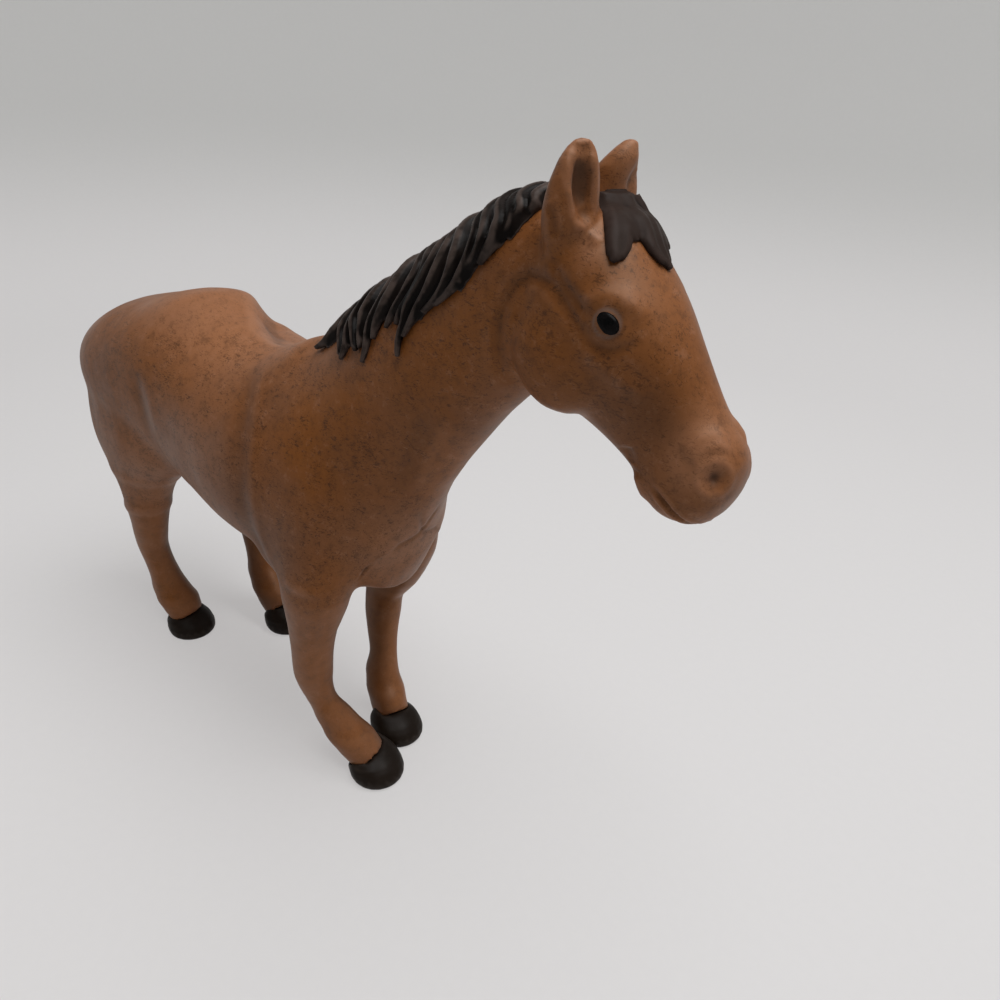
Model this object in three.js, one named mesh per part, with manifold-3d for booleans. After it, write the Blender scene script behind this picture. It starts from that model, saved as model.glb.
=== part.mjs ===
// A toy horse cast in soft vinyl, standing with one fore foot and one hind foot ahead of the others.
// Millimetres, Z up. The horse looks along +X and its left side is +Y. Its four soles stand on Z = 0.

import * as THREE from 'three';
import Module from 'manifold-3d';
import { LoftGeometry } from 'three/addons/geometries/LoftGeometry.js';
import { mergeVertices } from 'three/addons/utils/BufferGeometryUtils.js';

const wasm = await Module();
wasm.setup();

// Trunk and neck
const bodyLength = 176;
const withersHeight = 141;
const barrelWidth = 63;
const neckLength = 82;
const neckDepth = 68;
const neckWidth = 40;
const neckAngle = 44.5;

// Head
const headLength = 66;
const headDepth = 36;
const headWidth = 30;
const headAngle = 47;
const cheekRadius = 13;
const earHeight = 12.8;
const earWidth = 12.6;
const earThickness = 9;
const earSpread = 8.1;
const eyeWidth = 4.4;
const eyeHeight = 4.1;
const eyeDepth = 3;

// Legs and hooves
const foreLegTop = 99;
const foreLegDepth = 30;
const foreLegWidth = 23;
const foreStride = 9;
const hindLegTop = 119;
const hindLegDepth = 50;
const hindLegWidth = 26;
const hindStride = 24.6;
const hoofLength = 18.6;
const hoofWidth = 18.4;
const hoofHeight = 9.8;

// Hair
const maneRise = 2.2;
const maneOverlap = 4;
const forelockRise = 2;
const forelockWidth = 20;
const tailLength = 86;
const tailWidth = 15;

// Casting
const wall = 2.8;
const gap = 0.3;
const leastHalf = 0.7;
const spigotLength = 8;
const cutReach = 300;

// Fineness of the surface
const rings = 2;
const innerRings = 1;
const bodySides = 30;
const headSides = 26;
const limbSides = 14;
const hoofSides = 20;
const innerSides = 14;
const ballSides = 14;
const ballRings = 10;
const hairSides = 14;

// Turns a closed geometry into a solid, whichever way its faces wind
function solidOf(geometry) {
  const bare = new THREE.BufferGeometry();
  bare.setAttribute('position', geometry.attributes.position);
  bare.setIndex(geometry.index);
  const merged = mergeVertices(bare);
  const points = merged.attributes.position;
  const order = Array.from(merged.index.array);
  const a = new THREE.Vector3();
  const b = new THREE.Vector3();
  const c = new THREE.Vector3();
  const corners = [];
  let volume = 0;
  for (let i = 0; i < order.length; i += 3) {
    const [p, q, r] = [order[i], order[i + 1], order[i + 2]];
    if (p === q || q === r || r === p) continue;
    a.fromBufferAttribute(points, p);
    b.fromBufferAttribute(points, q);
    c.fromBufferAttribute(points, r);
    volume += a.dot(b.cross(c));
    corners.push(p, q, r);
  }
  if (volume < 0) corners.reverse();
  const triVerts = Uint32Array.from(corners);
  const vertProperties = Float32Array.from(points.array);
  return new wasm.Manifold(new wasm.Mesh({ numProp: 3, vertProperties, triVerts }));
}

// Turns a solid back into a geometry
function geometryOf(solid) {
  const { vertProperties, triVerts } = solid.getMesh();
  const geometry = new THREE.BufferGeometry();
  geometry.setAttribute('position', new THREE.BufferAttribute(new Float32Array(vertProperties), 3));
  geometry.setIndex(new THREE.BufferAttribute(new Uint32Array(triVerts), 1));
  geometry.computeVertexNormals();
  return geometry;
}

// Joins solids into one
function join(solids) {
  return solids.reduce((whole, next) => whole.add(next));
}

// The largest body of a solid, without the crumbs that a cut can leave
function mainBody(solid) {
  const bodies = solid.decompose();
  return bodies.reduce((best, next) => (next.volume() > best.volume() ? next : best));
}

// A box between two corners, as a solid for cutting
function block(low, high) {
  const size = new THREE.Vector3().subVectors(high, low);
  const box = new THREE.BoxGeometry(size.x, size.y, size.z);
  box.translate(low.x + size.x / 2, low.y + size.y / 2, low.z + size.z / 2);
  return solidOf(box);
}

// Rows of numbers read at even steps on a smooth curve through them
function smoothRows(rows, steps) {
  const rowAt = (k) => rows[Math.min(Math.max(k, 0), rows.length - 1)];
  const result = [];
  for (let i = 0; i <= steps; i++) {
    const place = (i / steps) * (rows.length - 1);
    const k = Math.min(Math.floor(place), rows.length - 2);
    const u = place - k;
    const [p, q, r, s] = [rowAt(k - 1), rowAt(k), rowAt(k + 1), rowAt(k + 2)];
    result.push(q.map((value, j) => {
      const slopeIn = (r[j] - p[j]) / 2;
      const slopeOut = (s[j] - value) / 2;
      const bend = 3 * (r[j] - value) - 2 * slopeIn - slopeOut;
      const twist = 2 * (value - r[j]) + slopeIn + slopeOut;
      return value + u * (slopeIn + u * (bend + u * twist));
    }));
  }
  return result;
}

// One girth of the body. A row holds the top point, the low point, the half width, the height share
// at which it is widest, and how pinched the top and the underside are: 1 is round, less is squarer.
function girth([topX, topZ, lowX, lowZ, halfWidth, widest, topPinch, lowPinch], grow, sides) {
  const top = new THREE.Vector2(topX, topZ);
  const low = new THREE.Vector2(lowX, lowZ);
  const reach = new THREE.Vector2().subVectors(top, low);
  const depth = reach.length();
  const up = reach.divideScalar(depth);
  const across = Math.max(halfWidth + grow, leastHalf);
  const rise = Math.max(depth * (1 - widest) + grow, leastHalf);
  const fall = Math.max(depth * widest + grow, leastHalf);
  const middle = low.clone().addScaledVector(up, depth * widest);
  const ring = [];
  for (let i = 0; i < sides; i++) {
    const angle = (i / sides) * Math.PI * 2;
    const [c, s] = [Math.cos(angle), Math.sin(angle)];
    const pinch = s > 0 ? topPinch : lowPinch;
    const side = Math.sign(c) * Math.pow(Math.abs(c), pinch) * across;
    const height = Math.sign(s) * Math.pow(Math.abs(s), pinch) * (s > 0 ? rise : fall);
    ring.push(new THREE.Vector3(middle.x + up.x * height, side, middle.y + up.y * height));
  }
  return ring;
}

// A closed solid through rings of points, with a fan to the middle of each end ring
function closedLoft(loops) {
  const point = (loop) => loop.map(() => middleOf(loop));
  return solidOf(new LoftGeometry([point(loops[0]), ...loops, point(loops[loops.length - 1])]));
}

// A closed body through girths. Its two ends are drawn in or out along the body by the same growth.
function bodyLoft(rows, grow, sides, ringsPerRow) {
  const fine = smoothRows(rows, (rows.length - 1) * ringsPerRow);
  const girths = fine.map((row) => girth(row, grow, sides));
  const last = girths.length - 1;
  for (const [end, near] of [[0, 1], [last, last - 1]]) {
    const away = middleOf(girths[end]).sub(middleOf(girths[near])).setLength(Math.abs(grow));
    if (grow < 0) away.negate();
    if (grow !== 0) girths[end].forEach((point) => point.add(away));
  }
  return closedLoft(girths);
}

// The middle of a ring of points
function middleOf(ring) {
  const sum = new THREE.Vector3();
  ring.forEach((point) => sum.add(point));
  return sum.divideScalar(ring.length);
}

// A limb swept along its centre line. A row holds the centre point, the half size fore and aft, and
// the half size across.
function limbLoft(rows, grow, sides, ringsPerRow) {
  const fine = smoothRows(rows, (rows.length - 1) * ringsPerRow);
  const centres = fine.map(([x, y, z]) => new THREE.Vector3(x, y, z));
  const loops = fine.map((row, i) => {
    const before = centres[Math.max(i - 1, 0)];
    const after = centres[Math.min(i + 1, centres.length - 1)];
    const along = new THREE.Vector3().subVectors(after, before).normalize();
    const fore = new THREE.Vector3(0, 1, 0).cross(along).normalize();
    const across = new THREE.Vector3().crossVectors(along, fore);
    const halfFore = Math.max(row[3] + grow, leastHalf);
    const halfAcross = Math.max(row[4] + grow, leastHalf);
    const ring = [];
    for (let k = 0; k < sides; k++) {
      const angle = (k / sides) * Math.PI * 2;
      const point = centres[i].clone();
      point.addScaledVector(fore, Math.cos(angle) * halfFore);
      point.addScaledVector(across, Math.sin(angle) * halfAcross);
      ring.push(point);
    }
    return ring;
  });
  return closedLoft(loops);
}

// An egg-shaped muscle or ball: centre, half sizes, and how far it leans forward in degrees
function mass(centre, halfSizes, lean, grow) {
  const radius = halfSizes.x + grow;
  const ball = new THREE.SphereGeometry(radius, ballSides, ballRings);
  ball.scale(1, (halfSizes.y + grow) / radius, (halfSizes.z + grow) / radius);
  ball.rotateY(THREE.MathUtils.degToRad(lean));
  ball.translate(centre.x, centre.y, centre.z);
  return solidOf(ball);
}

// Trunk, from the buttock to the breast: top line, underline, half width, widest share, pinches.
// Lengths are shares of the body length, heights of the withers height, half widths of the barrel width.
const trunkShares = [
  [-0.003, 0.796, 0.000, 0.750, 0.04, 0.50, 1.00, 1.00],
  [0.004, 0.846, 0.010, 0.694, 0.21, 0.52, 1.00, 1.00],
  [0.035, 0.888, 0.040, 0.632, 0.34, 0.55, 0.97, 1.00],
  [0.092, 0.924, 0.100, 0.581, 0.42, 0.57, 0.94, 1.00],
  [0.172, 0.961, 0.180, 0.545, 0.468, 0.57, 0.90, 1.00],
  [0.275, 0.992, 0.283, 0.531, 0.478, 0.57, 0.86, 0.98],
  [0.377, 1.022, 0.386, 0.525, 0.462, 0.54, 0.86, 0.96],
  [0.477, 0.986, 0.477, 0.514, 0.458, 0.49, 0.90, 0.94],
  [0.580, 0.957, 0.580, 0.504, 0.484, 0.46, 0.96, 0.93],
  [0.655, 0.966, 0.685, 0.498, 0.486, 0.46, 1.02, 0.93],
  [0.700, 0.988, 0.780, 0.492, 0.455, 0.46, 1.12, 0.98]
];
const trunkRows = trunkShares.map(([topX, topZ, lowX, lowZ, half, ...form]) => [
  topX * bodyLength,
  topZ * withersHeight,
  lowX * bodyLength,
  lowZ * withersHeight,
  half * barrelWidth,
  ...form
]);

// Neck, from the withers and breast up to the poll and throat. Places run along the neck and across it,
// as shares of the neck length and depth, and half widths are shares of the neck width.
const neckFootShare = { x: 0.818, z: 0.8009 };
const neckFoot = new THREE.Vector2(neckFootShare.x * bodyLength, neckFootShare.z * withersHeight);
const neckAlong = new THREE.Vector2(
  Math.cos(THREE.MathUtils.degToRad(neckAngle)),
  Math.sin(THREE.MathUtils.degToRad(neckAngle))
);
const neckCrest = new THREE.Vector2(-neckAlong.y, neckAlong.x);
const neckShares = [
  [0.125, 0.460, -0.200, -0.575, 0.600, 0.47, 1.14, 1.00],
  [0.225, 0.432, 0.060, -0.430, 0.520, 0.47, 1.16, 1.02],
  [0.345, 0.410, 0.250, -0.345, 0.450, 0.46, 1.16, 1.03],
  [0.480, 0.392, 0.390, -0.308, 0.405, 0.46, 1.16, 1.02],
  [0.640, 0.362, 0.530, -0.282, 0.370, 0.47, 1.16, 1.00],
  [0.800, 0.315, 0.675, -0.256, 0.345, 0.48, 1.14, 1.00],
  [0.950, 0.276, 0.815, -0.250, 0.335, 0.50, 1.08, 1.00],
  [1.080, 0.232, 0.945, -0.240, 0.325, 0.50, 1.02, 1.00],
  [1.170, 0.166, 1.050, -0.190, 0.280, 0.50, 1.00, 1.00],
  [1.245, 0.090, 1.140, -0.120, 0.210, 0.50, 1.00, 1.00]
];
function onNeck(alongShare, acrossShare) {
  const place = neckFoot.clone();
  place.addScaledVector(neckAlong, alongShare * neckLength);
  place.addScaledVector(neckCrest, acrossShare * neckDepth);
  return [place.x, place.y];
}
const neckRows = neckShares.map(([topAlong, topAcross, lowAlong, lowAcross, half, ...form]) => [
  ...onNeck(topAlong, topAcross),
  ...onNeck(lowAlong, lowAcross),
  half * neckWidth,
  ...form
]);

// Head, from the poll down to the lips, laid along a line that drops forward from the end of the neck
const headFootShare = { along: 1.052, across: -0.093 };
const headFoot = new THREE.Vector2(...onNeck(headFootShare.along, headFootShare.across));
const headAlong = new THREE.Vector2(
  Math.cos(THREE.MathUtils.degToRad(headAngle)),
  -Math.sin(THREE.MathUtils.degToRad(headAngle))
);
const headFace = new THREE.Vector2(-headAlong.y, headAlong.x);
const headShares = [
  [-0.255, 0.190, -0.180, -0.230, 0.200, 0.48, 1.00, 1.00],
  [-0.200, 0.380, -0.100, -0.310, 0.300, 0.49, 1.00, 1.00],
  [-0.125, 0.520, -0.020, -0.360, 0.400, 0.51, 0.95, 1.00],
  [-0.020, 0.598, 0.080, -0.390, 0.460, 0.54, 0.90, 1.05],
  [0.090, 0.606, 0.190, -0.370, 0.480, 0.58, 0.88, 1.08],
  [0.200, 0.600, 0.285, -0.300, 0.440, 0.60, 0.88, 1.08],
  [0.320, 0.575, 0.375, -0.215, 0.375, 0.58, 0.90, 1.05],
  [0.440, 0.547, 0.470, -0.145, 0.320, 0.55, 0.92, 1.00],
  [0.545, 0.527, 0.560, -0.100, 0.298, 0.50, 0.94, 0.98],
  [0.635, 0.525, 0.645, -0.110, 0.318, 0.46, 0.92, 0.96],
  [0.707, 0.485, 0.710, -0.080, 0.312, 0.46, 0.92, 0.96],
  [0.768, 0.362, 0.762, 0.005, 0.245, 0.48, 0.95, 0.98],
  [0.800, 0.220, 0.795, 0.120, 0.110, 0.50, 1.00, 1.00]
];
function onHead(alongShare, faceShare) {
  const place = headFoot.clone();
  place.addScaledVector(headAlong, alongShare * headLength);
  place.addScaledVector(headFace, faceShare * headDepth);
  return [place.x, place.y];
}
const headRows = headShares.map(([topAlong, topFace, lowAlong, lowFace, half, ...form]) => [
  ...onHead(topAlong, topFace),
  ...onHead(lowAlong, lowFace),
  half * headWidth,
  ...form
]);

// A point beside the middle plane of the head
function besideHead(alongShare, faceShare, side) {
  const [x, z] = onHead(alongShare, faceShare);
  return new THREE.Vector3(x, side, z);
}

// The cheek bulges and the brows above the eyes
const cheekShare = { along: 0.150, face: -0.015, side: 0.27, thickness: 0.225 };
const browShare = { along: 0.122, face: 0.44, side: 0.305, length: 0.110, height: 0.095, thickness: 0.070 };
function cheek(side, grow) {
  const centre = besideHead(cheekShare.along, cheekShare.face, side * cheekShare.side * headWidth);
  const halfSizes = new THREE.Vector3(cheekRadius, cheekShare.thickness * headWidth, cheekRadius);
  return mass(centre, halfSizes, 0, grow);
}
function brow(side, grow) {
  const centre = besideHead(browShare.along, browShare.face, side * browShare.side * headWidth);
  const halfSizes = new THREE.Vector3(
    browShare.length * headLength,
    browShare.thickness * headWidth,
    browShare.height * headDepth
  );
  return mass(centre, halfSizes, headAngle / 2, grow);
}

// An ear: a leaf that widens above its root and closes to a tip, scooped on the side that faces forward
const earFootShare = { along: -0.150, face: 0.440 };
const earLean = 1;
const earTurn = 12;
const earShares = [
  [-0.60, -0.10, 0.34, 0.36],
  [-0.30, -0.07, 0.46, 0.46],
  [0.00, -0.04, 0.50, 0.48],
  [0.25, -0.02, 0.48, 0.44],
  [0.48, 0.01, 0.42, 0.40],
  [0.69, 0.04, 0.34, 0.34],
  [0.85, 0.08, 0.24, 0.26],
  [0.95, 0.13, 0.14, 0.16],
  [1.00, 0.17, 0.05, 0.06]
];
const earScoopShare = {
  height: 0.46, length: 0.42, width: 0.25, depth: 0.32, forward: 0.56, outward: 0.08
};
function placeEar(solid, side) {
  const [x, z] = onHead(earFootShare.along, earFootShare.face);
  return solid
    .rotate([0, 0, side * earTurn])
    .rotate([0, earLean, 0])
    .translate([x, side * earSpread, z]);
}
function ear(side, grow) {
  const rows = earShares.map(([height, forward, half, thick]) => [
    forward * earThickness,
    0,
    height * earHeight,
    thick * earThickness,
    half * earWidth
  ]);
  const leaf = limbLoft(rows, grow, limbSides, innerRings);
  const scoopCentre = new THREE.Vector3(
    earScoopShare.forward * earThickness,
    side * earScoopShare.outward * earWidth,
    earScoopShare.height * earHeight
  );
  const scoopSizes = new THREE.Vector3(
    earScoopShare.depth * earThickness,
    earScoopShare.width * earWidth,
    earScoopShare.length * earHeight
  );
  const scoop = mass(scoopCentre, scoopSizes, 0, 0);
  return placeEar(leaf.subtract(scoop), side);
}

// Fore leg, from inside the shoulder down to the peg in the hoof. A row holds the height, how far
// forward of the hoof the centre lies, the sideways share from hoof to shoulder, and the half sizes.
// Forward places are shares of the leg's height, and the half sizes are shares of its depth and width.
const foreNearShares = [
  [1.00, -0.100, 0.44, 0.26, 0.22],
  [0.90, -0.120, 0.46, 0.42, 0.40],
  [0.80, -0.130, 0.47, 0.44, 0.44],
  [0.70, -0.140, 0.474, 0.36, 0.41],
  [0.60, -0.155, 0.487, 0.268, 0.325],
  [0.485, -0.174, 0.465, 0.230, 0.280],
  [0.390, -0.188, 0.430, 0.217, 0.272],
  [0.320, -0.187, 0.387, 0.180, 0.225],
  [0.250, -0.172, 0.322, 0.155, 0.195],
  [0.195, -0.140, 0.243, 0.188, 0.235],
  [0.140, -0.105, 0.174, 0.215, 0.270],
  [0.095, -0.062, 0.096, 0.218, 0.280],
  [0.060, -0.030, 0.030, 0.200, 0.265]
];
const foreFarShares = [
  [1.00, -0.040, 0.44, 0.26, 0.22],
  [0.90, -0.080, 0.46, 0.42, 0.40],
  [0.80, -0.095, 0.47, 0.50, 0.44],
  [0.70, -0.116, 0.474, 0.45, 0.42],
  [0.60, -0.140, 0.470, 0.350, 0.345],
  [0.50, -0.178, 0.450, 0.240, 0.290],
  [0.410, -0.180, 0.410, 0.225, 0.275],
  [0.330, -0.168, 0.350, 0.190, 0.240],
  [0.260, -0.148, 0.285, 0.165, 0.215],
  [0.195, -0.130, 0.210, 0.185, 0.235],
  [0.140, -0.105, 0.140, 0.212, 0.265],
  [0.095, -0.065, 0.070, 0.218, 0.280],
  [0.060, -0.030, 0.020, 0.200, 0.265]
];

// Hind leg, from inside the haunch down through stifle, hock and pastern
const hindNearShares = [
  [1.00, 0.020, 0.150, 0.40, 0.32],
  [0.90, 0.000, 0.180, 0.56, 0.42],
  [0.80, -0.030, 0.205, 0.65, 0.450],
  [0.71, -0.032, 0.225, 0.58, 0.455],
  [0.635, -0.030, 0.255, 0.36, 0.400],
  [0.570, -0.030, 0.275, 0.215, 0.345],
  [0.505, -0.043, 0.275, 0.172, 0.300],
  [0.450, -0.057, 0.263, 0.152, 0.262],
  [0.390, -0.074, 0.246, 0.138, 0.240],
  [0.330, -0.088, 0.220, 0.124, 0.218],
  [0.260, -0.086, 0.169, 0.112, 0.205],
  [0.186, -0.075, 0.115, 0.120, 0.230],
  [0.138, -0.062, 0.077, 0.136, 0.262],
  [0.095, -0.040, 0.035, 0.140, 0.275],
  [0.055, -0.018, 0.000, 0.125, 0.250]
];

const hindFarShares = [
  [1.00, -0.187, -0.030, 0.40, 0.32],
  [0.90, -0.208, 0.000, 0.56, 0.42],
  [0.80, -0.237, 0.015, 0.65, 0.450],
  [0.71, -0.237, 0.040, 0.58, 0.455],
  [0.635, -0.234, 0.060, 0.36, 0.400],
  [0.570, -0.225, 0.080, 0.215, 0.345],
  [0.505, -0.218, 0.090, 0.172, 0.300],
  [0.440, -0.214, 0.090, 0.152, 0.262],
  [0.380, -0.208, 0.090, 0.138, 0.240],
  [0.320, -0.197, 0.085, 0.124, 0.218],
  [0.245, -0.176, 0.075, 0.112, 0.205],
  [0.175, -0.148, 0.055, 0.120, 0.230],
  [0.125, -0.112, 0.030, 0.136, 0.262],
  [0.088, -0.070, 0.010, 0.140, 0.275],
  [0.055, -0.030, 0.000, 0.125, 0.250]
];

// Where the middle of each hoof stands along the body and beside its middle, and where each leg is
// seated in the open end of its stub, just under the trunk
const foreStandShare = 0.8642;
const hindStandShare = 0.3153;
const foreSpreadShare = 0.1365;
const hindRightSpreadShare = 0.2;
const hindLeftSpreadShare = 0.2778;
const foreSeamShare = 0.47;
const hindSeamShare = 0.461;
const foreStand = foreStandShare * bodyLength;
const hindStand = hindStandShare * bodyLength;
const foreSpread = foreSpreadShare * barrelWidth;
const hindRightSpread = hindRightSpreadShare * barrelWidth;
const hindLeftSpread = hindLeftSpreadShare * barrelWidth;
const foreSeamHeight = foreSeamShare * withersHeight;
const hindSeamHeight = hindSeamShare * withersHeight;
const legs = [
  {
    name: 'fore_leg_right', side: -1, shares: foreNearShares, top: foreLegTop, depth: foreLegDepth,
    width: foreLegWidth, stand: foreStand + foreStride / 2, foot: foreSpread,
    seam: foreSeamHeight
  },
  {
    name: 'fore_leg_left', side: 1, shares: foreFarShares, top: foreLegTop, depth: foreLegDepth,
    width: foreLegWidth, stand: foreStand - foreStride / 2, foot: foreSpread,
    seam: foreSeamHeight
  },
  {
    name: 'hind_leg_right', side: -1, shares: hindNearShares, top: hindLegTop, depth: hindLegDepth,
    width: hindLegWidth, stand: hindStand - hindStride / 2, foot: hindRightSpread,
    seam: hindSeamHeight
  },
  {
    name: 'hind_leg_left', side: 1, shares: hindFarShares, top: hindLegTop, depth: hindLegDepth,
    width: hindLegWidth, stand: hindStand + hindStride / 2, foot: hindLeftSpread,
    seam: hindSeamHeight
  }
];
function legForm(leg, grow, sides, ringsPerRow) {
  const rows = leg.shares.map(([height, forward, outward, halfFore, halfAcross]) => [
    leg.stand + forward * leg.top,
    leg.side * (leg.foot + outward * leg.width),
    height * leg.top,
    halfFore * leg.depth,
    halfAcross * leg.width
  ]);
  return limbLoft(rows, grow, sides, ringsPerRow);
}
function above(height) {
  const low = new THREE.Vector3(-cutReach, -cutReach, height);
  return block(low, new THREE.Vector3(cutReach, cutReach, cutReach));
}
function below(height) {
  const low = new THREE.Vector3(-cutReach, -cutReach, -cutReach);
  return block(low, new THREE.Vector3(cutReach, cutReach, height));
}

// Hoof: a rounded cup that flares from the coronet and is flat underneath
const hoofShares = [
  [1.00, -0.22, 0.66, 0.70],
  [0.90, -0.20, 0.76, 0.78],
  [0.70, -0.13, 0.86, 0.90],
  [0.48, -0.06, 0.95, 0.97],
  [0.28, -0.01, 1.00, 1.00],
  [0.12, 0.02, 0.97, 0.98],
  [0.03, 0.03, 0.90, 0.91],
  [0.00, 0.03, 0.84, 0.85]
];
const coronetShare = { from: 0.6, tilt: 0.35 };
function hoofForm(leg) {
  const loops = hoofShares.map(([height, back, long, wide]) => {
    const ring = [];
    const sloped = Math.max(height - coronetShare.from, 0) * coronetShare.tilt * hoofHeight;
    for (let k = 0; k < hoofSides; k++) {
      const angle = (k / hoofSides) * Math.PI * 2;
      const reach = Math.cos(angle) * long * hoofLength / 2;
      ring.push(new THREE.Vector3(
        leg.stand + back * hoofLength + reach,
        leg.side * leg.foot + Math.sin(angle) * wide * hoofWidth / 2,
        height * hoofHeight - Math.cos(angle) * sloped
      ));
    }
    return ring;
  });
  return closedLoft(loops);
}

// The outer form of the trunk, neck and head at any growth, first without the ears
function earlessForm(grow) {
  const parts = [
    bodyLoft([...trunkRows, ...neckRows], grow, bodySides, rings),
    bodyLoft(headRows, grow, headSides, rings)
  ];
  for (const side of [-1, 1]) parts.push(cheek(side, grow), brow(side, grow));
  return join(parts);
}
function skinForm(grow) {
  return join([earlessForm(grow), ear(-1, grow), ear(1, grow)]);
}

// The hollow inside the casting: one wall in from the trunk, neck and head. It leaves the trunk's first
// row out, so that the wall stays thick at the rear.
function hollowForm() {
  const trunkHollow = bodyLoft([...trunkRows.slice(1), ...neckRows], -wall, innerSides, innerRings);
  return trunkHollow.add(bodyLoft(headRows, -wall, innerSides, innerRings));
}

// Shoulder, breast and haunch muscles that stand out from the trunk
const shoulderShare = {
  x: 0.772, z: 0.740, side: 0.255, long: 0.138, thick: 0.178, high: 0.235, lean: 14, tilt: 10
};
const breastShare = {
  x: 0.856, z: 0.680, side: 0.15, long: 0.092, thick: 0.15, high: 0.112, lean: -25, tilt: 0
};
function muscle(share, side) {
  const halfSizes = new THREE.Vector3(
    share.long * bodyLength,
    share.thick * barrelWidth,
    share.high * withersHeight
  );
  return mass(new THREE.Vector3(), halfSizes, share.lean, 0)
    .rotate([side * share.tilt, 0, 0])
    .translate([share.x * bodyLength, side * share.side * barrelWidth, share.z * withersHeight]);
}

// Hair outlines, drawn from the side and pressed through the neck, then kept to a thin relief
function prism(outline, from, to) {
  const shape = new THREE.Shape(outline.map(([x, z]) => new THREE.Vector2(x, z)));
  const sheet = new THREE.ExtrudeGeometry(shape, { depth: to - from, bevelEnabled: false });
  sheet.rotateX(Math.PI / 2);
  sheet.translate(0, to, 0);
  return solidOf(sheet);
}
const maneTopShares = [
  [1.24, 0.60],
  [0.60, 0.75],
  [0.06, 0.85]
];
const maneLockShares = [
  [0.070, 0.475],
  [0.110, 0.435],
  [0.155, 0.392],
  [0.200, 0.405],
  [0.245, 0.365],
  [0.335, 0.240],
  [0.360, 0.300],
  [0.435, 0.165],
  [0.490, 0.230],
  [0.585, 0.080],
  [0.620, 0.180],
  [0.705, 0.135],
  [0.735, 0.170],
  [0.810, 0.118],
  [0.840, 0.160],
  [0.900, 0.100],
  [0.930, 0.145],
  [0.998, 0.108],
  [1.030, 0.150],
  [1.085, 0.112],
  [1.115, 0.150],
  [1.170, 0.120]
];
const maneOutline = [...maneLockShares, ...maneTopShares].map(([along, across]) => onNeck(along, across));

// Forelock outline on the brow: places along the head and across it
const forelockShares = [
  [-0.180, -0.160],
  [-0.112, -0.250],
  [-0.030, -0.385],
  [0.060, -0.480],
  [0.065, -0.375],
  [0.016, -0.180],
  [0.085, -0.080],
  [0.120, 0.070],
  [0.070, 0.240],
  [-0.010, 0.350],
  [-0.100, 0.300],
  [-0.180, 0.180]
];
function forelockPrism() {
  const shape = new THREE.Shape(
    forelockShares.map(([along, across]) => new THREE.Vector2(along * headLength, across * forelockWidth))
  );
  const sheet = new THREE.ExtrudeGeometry(shape, { depth: headDepth, bevelEnabled: false });
  const forward = new THREE.Vector3(headAlong.x, 0, headAlong.y);
  const outward = new THREE.Vector3(headFace.x, 0, headFace.y);
  const sideways = new THREE.Vector3().crossVectors(outward, forward);
  const turn = new THREE.Matrix4().makeBasis(forward, sideways, outward);
  sheet.applyMatrix4(turn);
  sheet.translate(headFoot.x, 0, headFoot.y);
  return solidOf(sheet);
}

// Tail: a root that plugs into the rump, and a fall of hair that hangs behind the buttocks
const tailShares = [
  [0.070, 0.020, 0.20, 0.24],
  [0.034, 0.026, 0.27, 0.32],
  [0.004, 0.014, 0.31, 0.38],
  [-0.020, -0.032, 0.33, 0.43],
  [-0.0330, -0.115, 0.34, 0.48],
  [-0.0395, -0.240, 0.36, 0.53],
  [-0.0397, -0.390, 0.38, 0.56],
  [-0.0365, -0.550, 0.37, 0.54],
  [-0.0315, -0.710, 0.32, 0.46],
  [-0.026, -0.855, 0.22, 0.31],
  [-0.023, -0.960, 0.09, 0.13]
];
const tailRootHeightShare = 0.842;
function tailForm(grow) {
  const rows = tailShares.map(([x, z, halfFore, halfAcross]) => [
    x * bodyLength,
    0,
    tailRootHeightShare * withersHeight + z * tailLength,
    halfFore * tailWidth,
    halfAcross * tailWidth
  ]);
  return limbLoft(rows, grow, hairSides, rings);
}

// Eye: a glossy bead in a socket
const eyeShare = { along: 0.175, face: 0.40, side: 0.438 };
function eye(side, grow) {
  const centre = besideHead(eyeShare.along, eyeShare.face, side * eyeShare.side * headWidth);
  const halfSizes = new THREE.Vector3(eyeWidth / 2, eyeDepth / 2, eyeHeight / 2);
  return mass(centre, halfSizes, 0, grow);
}

const skinColour = new THREE.Color(0x7d5236);
const hairColour = new THREE.Color(0x2c2422);
const eyeColour = new THREE.Color(0x050505);
const finishes = {
  skin: { color: skinColour, roughness: 0.62, metalness: 0 },
  hair: { color: hairColour, roughness: 0.5, metalness: 0 },
  eye: { color: eyeColour, roughness: 0.12, metalness: 0 }
};
const group = new THREE.Group();
function addPiece(name, solid, finish) {
  const mesh = new THREE.Mesh(geometryOf(mainBody(solid)), new THREE.MeshStandardMaterial(finishes[finish]));
  mesh.name = name;
  group.add(mesh);
}

let skin = skinForm(0);
for (const side of [-1, 1]) {
  skin = skin.add(muscle(shoulderShare, side)).add(muscle(breastShare, side));
}
for (const leg of legs) skin = skin.add(legForm(leg, 0, limbSides, rings).subtract(below(leg.seam)));
skin = skin.subtract(hollowForm());
for (const leg of legs) {
  skin = skin.subtract(legForm(leg, -wall, limbSides, innerRings));
  const lower = legForm(leg, 0, limbSides, rings).subtract(above(leg.seam - gap));
  const spigot = legForm(leg, -wall - gap, limbSides, innerRings).subtract(above(leg.seam + spigotLength));
  const casting = lower.add(spigot);
  addPiece(leg.name, casting, 'skin');
  const seat = legForm(leg, gap, limbSides, rings);
  const hoof = hoofForm(leg).subtract(seat.add(seat.translate([0, 0, -gap])));
  addPiece(leg.name.replace('leg', 'hoof'), hoof, 'hair');
}
for (const side of [-1, 1]) {
  skin = skin.subtract(eye(side, gap));
  addPiece(side < 0 ? 'eye_right' : 'eye_left', eye(side, 0), 'eye');
}
skin = skin.subtract(tailForm(gap));
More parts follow.
